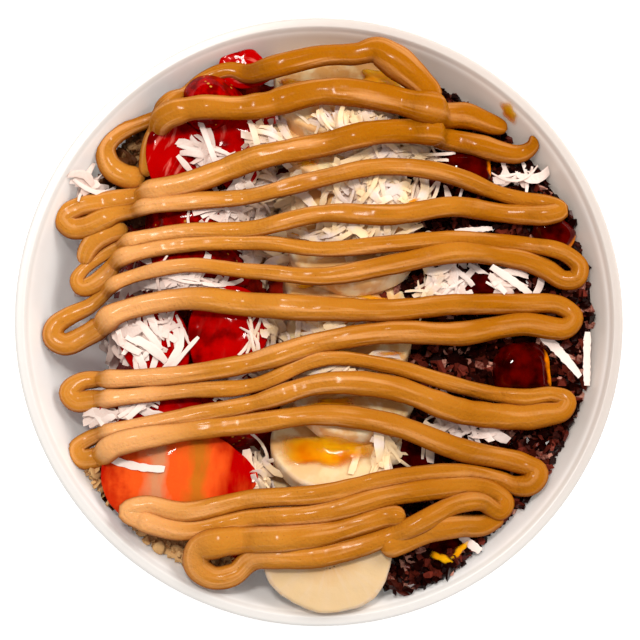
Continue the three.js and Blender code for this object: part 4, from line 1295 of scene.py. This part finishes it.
# By number, in the order that they are laid.
STRANDS = {5: RUN, 1: TOP_STRAND, 2: SECOND_STRAND, 4: SHORT_LOBE, 3: LONG_STRAND}
RIBBON_SPREAD = 0.993           # drawn in a little from the tables' places
RIBBON_FLATNESS = 0.82
RIBBON_UNDERSIDE = 0.8          # how much of its upper height the underside has
RIBBON_FULLNESS = 0.85          # power of its outline: 1 is an ellipse, less is squarer
RIBBON_SIDES = 28
RIBBON_STEP = 0.62              # between the rings of a ribbon
RIBBON_SINK = 0.9               # share of its height that a ribbon's middle keeps once laid
# Painted light: the side towards +Y gets less of the painted shade down the sides.
PAINTED_LIGHT_SIDE_SHIFT = 0.12               # how much higher a ribbon's side towards +Y counts
TRAIL = 9                       # rings at a pass's end that the next pass can't rest on
PASS_OVERLAP = 12               # rings of the passes before and after that a drape takes in
NOSE = 0.04                     # how much wider a ribbon is for each millimetre it overhangs
NOSE_REACH = 7
GAP_REACH = 8                   # rings to each side over which a ribbon bridges a gap
ON_FRUIT_LEVEL = 55             # a ribbon whose level is past this lies on fruit,
ON_BANANA_LEVEL = 59            # and past this on the bananas
DIP_LIMIT = 1.4                 # how far a ribbon leaves its level downwards, and upwards
RISE_LIMIT = 3.2
RISE_LIMIT_AT_WALL = 0.5
RISE_LIMIT_ON_BANANA = 1.2


def pass_route(way, width, first, y, lead, turn):
    """Points and widths along one pass: its lead, its crossing and its turn."""
    x = STATIONS[first:first + len(y)]
    crossing = list(zip(x, y))
    if way == LEFTWARD:
        crossing.reverse()
    route = np.array([*lead, *crossing, *turn], float)
    share = np.linspace(0, len(width) - 1, len(route))
    return route, np.interp(share, np.arange(len(width)), width)


def flowing_line(points, spacing):
    """A smooth line through points, evenly spaced: a cubic between neighbours, whose
    directions are weighted by the square roots of the distances to them."""
    gap = np.sqrt(np.linalg.norm(np.diff(points[:, :2], axis=0), axis=1))
    at = np.concatenate([[0], np.cumsum(gap)])
    slope = np.diff(points, axis=0) / gap[:, None]
    inner = (slope[:-1] * gap[1:, None] + slope[1:] * gap[:-1, None]) / (gap[:-1] + gap[1:])[:, None]
    tangent = np.concatenate([slope[:1], inner, slope[-1:]])
    fine = np.linspace(0, at[-1], int(at[-1] * 24))
    i = np.clip(np.searchsorted(at, fine, side="right") - 1, 0, len(gap) - 1)
    t = ((fine - at[i]) / gap[i])[:, None]
    h = gap[i, None]
    line = ((2 * t ** 3 - 3 * t ** 2 + 1) * points[i] + (t ** 3 - 2 * t ** 2 + t) * h * tangent[i]
            + (3 * t ** 2 - 2 * t ** 3) * points[i + 1] + (t ** 3 - t ** 2) * h * tangent[i + 1])
    return even(line, spacing)


def even(line, spacing):
    """The same line with its points evenly spaced along its first three columns."""
    step = np.linalg.norm(np.diff(line[:, :3], axis=0), axis=1)
    along = np.concatenate([[0], np.cumsum(step)])
    wanted = np.linspace(0, along[-1], max(int(along[-1] / spacing), 8))
    return np.stack([np.interp(wanted, along, column) for column in line.T], -1)


def window(values, reach, combine):
    """Each value combined with its neighbours up to reach places away on the last axis."""
    padded = np.pad(values, [(0, 0)] * (values.ndim - 1) + [(reach, reach)], mode="edge")
    windows = np.lib.stride_tricks.sliding_window_view(padded, 2 * reach + 1, axis=-1)
    return combine(windows, axis=-1)


def blurred(values, reach):
    """Values averaged twice over a window, which rounds off every corner."""
    return window(window(values, reach, np.mean), reach, np.mean)


def sideways(line):
    """Unit vectors to the right of a line in plan."""
    along = np.gradient(line[:, :2], axis=0)
    side = np.stack([along[:, 1], -along[:, 0]], -1)
    return side / np.maximum(np.linalg.norm(side, axis=1, keepdims=True), 1e-9)


def drape(line):
    """The level under a ribbon: the level that ribbons keep, with its steep steps, raised
    or lowered a little by the relief below. It bridges narrow gaps."""
    x, y, width = line[:, 0], line[:, 1], line[:, 3]
    reach = (width * 0.2)[:, None] * sideways(line)
    under = np.max([RELIEF.at(x + k * reach[:, 0], y + k * reach[:, 1]) for k in (-1, 0, 1)], axis=0)
    kept = resting_level(x, y)
    bridged = window(window(under, GAP_REACH, np.max), GAP_REACH, np.min)
    on_fruit = kept > ON_FRUIT_LEVEL
    limit = np.where((x > 0) | on_fruit, RISE_LIMIT, RISE_LIMIT_AT_WALL)
    limit = np.where(kept > ON_BANANA_LEVEL, RISE_LIMIT_ON_BANANA, limit)
    wanted = np.where(on_fruit, 0.4 * under + 0.6 * bridged, under)
    return blurred(kept, 1) + blurred(np.clip(wanted - kept, -DIP_LIMIT, limit), 4)


def ribbon_rings(line, seed):
    """Rings of an oval section, flatter below, square to the line. The width swells and
    narrows a little, both ends are rounded, and the surface is rippled and ridged."""
    middle, width = line[:, :3], line[:, 3]
    along = np.gradient(middle, axis=0)
    along /= np.linalg.norm(along, axis=1, keepdims=True)
    side = np.concatenate([sideways(line), np.zeros((len(line), 1))], axis=1)
    upward = np.cross(side, along)
    travel = np.arange(len(line)) * RIBBON_STEP
    sway = in_plan(travel, 0 * travel)
    swell = 1 + 0.07 * random_field(sway, 11, seed) + 0.04 * random_field(sway, 3.5, seed + 1)
    half = width / 2 * swell
    near = np.minimum(travel, travel[-1] - travel) / half
    half = half * np.sqrt(np.clip(1 - (1 - np.minimum(near, 1)) ** 2, 0.02, 1))
    angle = around(RIBBON_SIDES)
    across = np.sign(np.cos(angle)) * np.abs(np.cos(angle)) ** RIBBON_FULLNESS * half[:, None]
    above = np.sin(angle)
    above = np.where(above < 0, RIBBON_UNDERSIDE * above, above) * (half * RIBBON_FLATNESS)[:, None]
    rings = middle[:, None] + across[..., None] * side[:, None] + above[..., None] * upward[:, None]
    ripples = random_field(sway, 1.7, seed + 3)
    ridges = np.stack([travel[:, None] * 0.07 + 0 * across, across, above], -1)
    dents = 0.16 * random_field(rings, 2.6, seed + 2) + 0.05 * ripples[:, None]
    dents = dents + 0.3 * random_field(ridges, 1.0, seed + 4)
    return inside_bowl(rings + dents[..., None] * upward[:, None])


def strand_line(strand, scale):
    """The whole strand's line: passes laid one after another, each on the ones before."""
    routes = [pass_route(*leg) for leg in strand]
    route = np.concatenate([points for points, _ in routes]) * RIBBON_SPREAD
    width = scale * np.concatenate([widths for _, widths in routes])
    ends = np.cumsum([len(points) for points, _ in routes])
    line = flowing_line(np.column_stack([route, 0 * width, width]), RIBBON_STEP)
    cuts = [np.argmin(np.hypot(*(line[:, :2] - route[end - 1]).T)) for end in ends[:-1]]
    level = np.zeros(len(line))
    for start, end in zip([0, *cuts], [*cuts, len(line)]):
        before = max(start - PASS_OVERLAP, 0)
        laid = drape(line[before:min(end + PASS_OVERLAP, len(line))])
        level[start:end] = laid[start - before:end - before]
        behind = max(start - TRAIL, 0)
        stretch = line[behind:end - TRAIL].copy()
        stretch[:, 2] = level[behind:end - TRAIL] + stretch[:, 3] / 2 * RIBBON_FLATNESS
        surface = shells(ribbon_rings(stretch, 61)[None])
        RELIEF.add(surface[0], surface[1])
    line[:, 3] *= 1 + NOSE * (level - blurred(level, NOSE_REACH))
    line[:, 2] = blurred(level, 1) + line[:, 3] / 2 * RIBBON_FLATNESS * RIBBON_SINK
    return even(line, RIBBON_STEP)


def make_peanut_butter(sizes, colours):
    """Each strand, with its section attribute: the travel along it, and the places across and above its
    middle from -1 to 1. A side towards +Y counts as higher, so it gets less painted shade."""
    material = peanut_butter_finish(colours)
    angle = around(RIBBON_SIDES)
    for number, strand in STRANDS.items():
        line = strand_line(strand, sizes.ribbon_scale)
        rings = ribbon_rings(line, 70 + 5 * number)
        travel = np.arange(len(line))[:, None] * RIBBON_STEP
        towards_y = (rings[..., 1] - line[:, 1:2]) / (line[:, 3:] / 2)
        above = np.sin(angle) + PAINTED_LIGHT_SIDE_SHIFT * towards_y
        section = np.stack([travel + 0 * above, np.cos(angle) + 0 * above, above], -1)
        node = [] if strand is RUN else [f"peanut_butter_{number}"]
        piece(f"peanut_butter_strand_{number}", shells(rings[None]), material, "peanut_butter", node,
              section=for_points(section))


# ---------------------------------------------------------------- the studio
CAMERA_DISTANCE = 450           # above the rim
CAMERA_TILT = 4.5               # from straight above, in degrees
CAMERA_SIDE = 225               # the side it leans to: 180 is -X, 270 is -Y
VIEW_WIDTH = 167.7              # what the camera sees across, at the rim
VIEW_MIDDLE = (-0.5, -0.3)      # and the middle of that
WORLD_COLOUR = (1.0, 0.99, 0.98)
WORLD_STRENGTH = 0.58
FLOOR_REACH = 3.0               # metres to each side
FLOOR_DROP = 0.0002             # metres under the bowl
# Of each: its share of the light, its place, its size and colour, and whether it shines.
LIGHTS = {
    "window": (1.3, (290, 275, 430), 300, (1, 0.97, 0.93), False),
    "lamp": (1.35, (-90, 170, 600), 90, (1, 0.96, 0.9), True),
}


def looking(back, target, distance):
    """A matrix in metres that looks at a target in millimetres, from a distance back."""
    right = np.cross([0, 1, 0], back)
    right /= np.linalg.norm(right)
    place = (target + back * distance) * MM
    matrix = np.eye(4)
    matrix[:3] = np.column_stack([right, np.cross(back, right), back, place])
    return Matrix(matrix.tolist())


def make_camera():
    """A camera looking down on the rim, leaning a little to the lower left."""
    data = bpy.data.cameras.new("camera")
    data.lens = data.sensor_width * CAMERA_DISTANCE / VIEW_WIDTH
    data.clip_start, data.clip_end = 0.01, 20
    camera = bpy.data.objects.new("camera", data)
    lean, side = radians(CAMERA_TILT), radians(CAMERA_SIDE)
    back = np.array([sin(lean) * cos(side), sin(lean) * sin(side), cos(lean)])
    camera.matrix_world = looking(back, (*VIEW_MIDDLE, BOWL_HEIGHT), CAMERA_DISTANCE)
    bpy.context.scene.collection.objects.link(camera)
    bpy.context.scene.camera = camera


def make_light(name, power, place, size, colour, shines):
    """A round soft light that looks at the middle of the rim. One that doesn't shine lights
    surfaces but shows no reflection of itself."""
    data = bpy.data.lights.new(name, "AREA")
    data.shape, data.size, data.energy, data.color = "DISK", size * MM, power, colour
    light = bpy.data.objects.new(name, data)
    middle = np.array([0, 0, BOWL_HEIGHT])
    distance = np.linalg.norm(place - middle)
    light.matrix_world = looking((place - middle) / distance, middle, distance)
    light.visible_glossy = shines
    bpy.context.scene.collection.objects.link(light)


def make_floor():
    """A wide, pale, matt floor just under the bowl, which glows a little."""
    made = Finish("studio floor", Roughness=0.9, Emission_Color=(1, 1, 1, 1), Emission_Strength=0.45)
    colour = made.mix(made.noise(400, 2), (0.9, 0.9, 0.9), (0.94, 0.94, 0.94))
    mesh = bpy.data.meshes.new("studio_floor")
    sides = ((-1, -1), (1, -1), (1, 1), (-1, 1))
    corners = [(x * FLOOR_REACH, y * FLOOR_REACH, -FLOOR_DROP) for x, y in sides]
    mesh.from_pydata(corners, [], [(0, 1, 2, 3)])
    mesh.materials.append(made.done(colour))
    floor = bpy.data.objects.new("studio_floor", mesh)
    bpy.context.scene.collection.objects.link(floor)


def make_studio(sizes):
    """The floor, the camera, the lights and a pale world that reflections don't show."""
    scene = bpy.context.scene
    scene.view_settings.view_transform = "Standard"
    world = bpy.data.worlds.new("studio")
    world.use_nodes = True
    background = world.node_tree.nodes["Background"]
    background.inputs["Color"].default_value = (*WORLD_COLOUR, 1)
    background.inputs["Strength"].default_value = WORLD_STRENGTH
    scene.world = world
    world.cycles_visibility.glossy = False
    make_floor()
    make_camera()
    for name, (share, *light) in LIGHTS.items():
        make_light(name, sizes.light_power * share, *light)


# ---------------------------------------------------------------- the add-on's parts
def tone(name, description, *steps):
    """A colour property, whose default is given in everyday 0 to 255 steps."""
    return bpy.props.FloatVectorProperty(name=name, description=description, default=paint(*steps),
                                         subtype="COLOR", size=3, min=0, max=1)


class AcaiBowlSizes(bpy.types.PropertyGroup):
    """Sizes that a user would change."""
    bowl_segments: bpy.props.IntProperty(
        name="Bowl segments", description="Faces round the bowl", default=192, min=48)
    nib: bpy.props.FloatProperty(
        name="Nib", description="Usual size of a cacao nib", default=0.0027, unit="LENGTH")
    shred_length: bpy.props.FloatProperty(
        name="Shred length", description="Usual length of a shred of coconut", default=0.0105,
        unit="LENGTH")
    shred_width: bpy.props.FloatProperty(
        name="Shred width", description="Usual width of a shred of coconut", default=0.0021,
        unit="LENGTH")
    ribbon_scale: bpy.props.FloatProperty(
        name="Ribbon width", description="Share of the ribbons' usual width", default=1.04,
        subtype="FACTOR", min=0.5, max=1.5)
    light_power: bpy.props.FloatProperty(
        name="Light", description="Brightness of the studio's lamps", default=1.36, min=0)


class AcaiBowlColours(bpy.types.PropertyGroup):
    """Colours that a user would change."""
    bowl: tone("Bowl", "The bowl's plastic", 253, 250, 248)
    bowl_lip: tone("Bowl lip", "Its lip", 220, 216, 213)
    # Painted shade on the lip towards the back right.
    bowl_lip_painted_shade: tone("Bowl lip tint", "The lip's warm tint", 200, 190, 184)
    # Painted shade on the wall towards the back right, also used for faint random clouds.
    bowl_cloud_and_painted_shade: tone("Bowl tint", "Its warm tint", 196, 184, 176)
    acai: tone("Acai", "The puree", 26, 2, 5)
    acai_frost: tone("Acai frost", "Its icy tops", 52, 10, 18)
    # The acai's redder colour left of the nibs, under the fruit.
    acai_red_at_left: tone("Fruit juice", "On the acai, left of the nibs", 168, 34, 16)
    banana: tone("Banana", "The cut flesh", 255, 226, 172)
    banana_core: tone("Banana core", "The glassy core", 252, 208, 142)
    banana_rim: tone("Banana rim", "The pale rim", 255, 232, 196)
    banana_glaze: tone("Banana glaze", "Where honey stains it", 226, 152, 62)
    # Painted shade that dims the lowest slices.
    banana_painted_shade: tone("Banana, lower", "Dims the lowest slices", 216, 208, 208)
    banana_seed: tone("Banana seeds", "The specks in the core", 92, 62, 40)
    strawberry: tone("Strawberry", "The skin", 104, 0, 2)
    strawberry_flesh: tone("Strawberry flesh", "The cut flesh", 172, 0, 2)
    strawberry_core: tone("Strawberry core", "The pale core", 184, 6, 6)
    strawberry_vein: tone("Strawberry veins", "The pale veins", 220, 110, 96)
    strawberry_seed: tone("Strawberry seeds", "The seeds", 190, 130, 50)
    glazed: tone("Glazed fruit", "The dark skin", 36, 2, 1)
    glazed_glow: tone("Glazed fruit glow", "Where it is thin", 84, 8, 2)
    nib: tone("Nibs", "Dark nibs", 32, 10, 7)
    nib_red: tone("Brown nibs", "Reddish brown nibs", 104, 42, 32)
    nib_husk: tone("Nib husk", "Pale husks", 194, 136, 118)
    coconut: tone("Coconut", "The shreds", 240, 221, 211)
    # Partly honey, partly painted warm shade, over the bananas.
    coconut_honey_and_painted_warmth: tone("Sweet coconut", "Where honey warms it", 248, 214, 160)
    coconut_shade: tone("Coconut shade", "Their duller parts", 222, 190, 176)
    strawberry_ripe: tone("Ripe strawberry", "Its brightest end", 238, 90, 34)
    strawberry_amber: tone("Amber strawberry", "Its amber band", 190, 108, 32)
    strawberry_salmon: tone("Strawberry salmon", "Its pale band", 206, 140, 98)
    granola: tone("Granola", "The oats", 214, 168, 112)
    granola_toasted: tone("Toasted oats", "Their browner parts", 92, 52, 24)
    honey: tone("Honey", "Amber honey", 252, 178, 22)
    honey_deep: tone("Deep honey", "Where it is thick", 224, 118, 2)
    peanut_butter: tone("Peanut butter", "The ribbons", 194, 126, 48)
    # Browner towards the right and the top, and in random drifts.
    peanut_butter_deep: tone("Peanut butter, deep", "Their browner drifts", 160, 94, 14)
    # Painted light at the ribbons' left ends, and partly painted highlight in their pale streaks.
    peanut_butter_pale_and_painted_light: tone("Peanut butter, pale", "Its ends at the left", 228, 164, 106)
    # Painted shade down the ribbons' sides.
    peanut_butter_painted_shade: tone("Peanut butter, edge", "Down its sides", 136, 66, 4)
    peanut_speck: tone("Peanut specks", "Bits of skin", 120, 66, 26)


def settings(context):
    """The sizes and the colours that the scene holds."""
    return context.scene.acai_bowl_sizes, context.scene.acai_bowl_colours


class ACAIBOWL_OT_bowl(bpy.types.Operator):
    """Add the white bowl"""
    bl_idname = "acai_bowl.bowl"
    bl_label = "Bowl"

    def execute(self, context):
        sizes, colours = settings(context)
        make_bowl(sizes, colours)
        return {"FINISHED"}


class ACAIBOWL_OT_acai(bpy.types.Operator):
    """Add the acai that fills the bowl"""
    bl_idname = "acai_bowl.acai"
    bl_label = "Acai"

    def execute(self, context):
        make_acai(settings(context)[1])
        return {"FINISHED"}


class ACAIBOWL_OT_bananas(bpy.types.Operator):
    """Add the row of banana slices"""
    bl_idname = "acai_bowl.bananas"
    bl_label = "Banana slices"

    def execute(self, context):
        make_bananas(settings(context)[1])
        return {"FINISHED"}


class ACAIBOWL_OT_strawberries(bpy.types.Operator):
    """Add the strawberry halves"""
    bl_idname = "acai_bowl.strawberries"
    bl_label = "Strawberries"

    def execute(self, context):
        make_strawberries(settings(context)[1])
        return {"FINISHED"}


class ACAIBOWL_OT_glazed_fruit(bpy.types.Operator):
    """Add the pieces of dark glazed fruit"""
    bl_idname = "acai_bowl.glazed_fruit"
    bl_label = "Glazed fruit"

    def execute(self, context):
        make_glazed_fruit(settings(context)[1])
        return {"FINISHED"}


class ACAIBOWL_OT_cacao(bpy.types.Operator):
    """Add the heap of cacao nibs"""
    bl_idname = "acai_bowl.cacao"
    bl_label = "Cacao nibs"

    def execute(self, context):
        make_cacao(*settings(context))
        return {"FINISHED"}


class ACAIBOWL_OT_granola(bpy.types.Operator):
    """Add the granola"""
    bl_idname = "acai_bowl.granola"
    bl_label = "Granola"

    def execute(self, context):
        make_granola(settings(context)[1])
        return {"FINISHED"}


class ACAIBOWL_OT_coconut(bpy.types.Operator):
    """Add the shredded coconut"""
    bl_idname = "acai_bowl.coconut"
    bl_label = "Coconut"

    def execute(self, context):
        make_coconut(*settings(context))
        return {"FINISHED"}


class ACAIBOWL_OT_honey(bpy.types.Operator):
    """Add the pools of honey"""
    bl_idname = "acai_bowl.honey"
    bl_label = "Honey"

    def execute(self, context):
        make_honey(settings(context)[1])
        return {"FINISHED"}


class ACAIBOWL_OT_peanut_butter(bpy.types.Operator):
    """Add the ribbons of peanut butter"""
    bl_idname = "acai_bowl.peanut_butter"
    bl_label = "Peanut butter"

    def execute(self, context):
        make_peanut_butter(*settings(context))
        return {"FINISHED"}


class ACAIBOWL_OT_studio(bpy.types.Operator):
    """Add the floor, the lamps and the camera"""
    bl_idname = "acai_bowl.studio"
    bl_label = "Studio"

    def execute(self, context):
        make_studio(settings(context)[0])
        return {"FINISHED"}


OPERATORS = [ACAIBOWL_OT_bowl, ACAIBOWL_OT_acai, ACAIBOWL_OT_bananas, ACAIBOWL_OT_strawberries,
             ACAIBOWL_OT_glazed_fruit, ACAIBOWL_OT_cacao, ACAIBOWL_OT_granola, ACAIBOWL_OT_coconut,
             ACAIBOWL_OT_honey, ACAIBOWL_OT_peanut_butter, ACAIBOWL_OT_studio]


class ACAIBOWL_PT_panel(bpy.types.Panel):
    """Lists the bowl's pieces and their settings"""
    bl_label = "Acai bowl"
    bl_idname = "ACAIBOWL_PT_panel"
    bl_space_type = "VIEW_3D"
    bl_region_type = "UI"
    bl_category = "Acai bowl"

    def draw(self, context):
        for group in settings(context):
            for key in group.__annotations__:
                self.layout.prop(group, key)
        for operator in OPERATORS:
            self.layout.operator(operator.bl_idname)


CLASSES = [AcaiBowlSizes, AcaiBowlColours, *OPERATORS, ACAIBOWL_PT_panel]


def register():
    """Registers every class, and gives the scene its sizes and colours."""
    for each in CLASSES:
        bpy.utils.register_class(each)
    bpy.types.Scene.acai_bowl_sizes = bpy.props.PointerProperty(type=AcaiBowlSizes)
    bpy.types.Scene.acai_bowl_colours = bpy.props.PointerProperty(type=AcaiBowlColours)


def unregister():
    """Takes away what register adds."""
    del bpy.types.Scene.acai_bowl_colours
    del bpy.types.Scene.acai_bowl_sizes
    for each in reversed(CLASSES):
        bpy.utils.unregister_class(each)


def main():
    """Makes every piece in turn."""
    register()
    for operator in OPERATORS:
        getattr(bpy.ops.acai_bowl, operator.bl_idname.split(".")[1])()


if __name__ == "__main__":
    main()
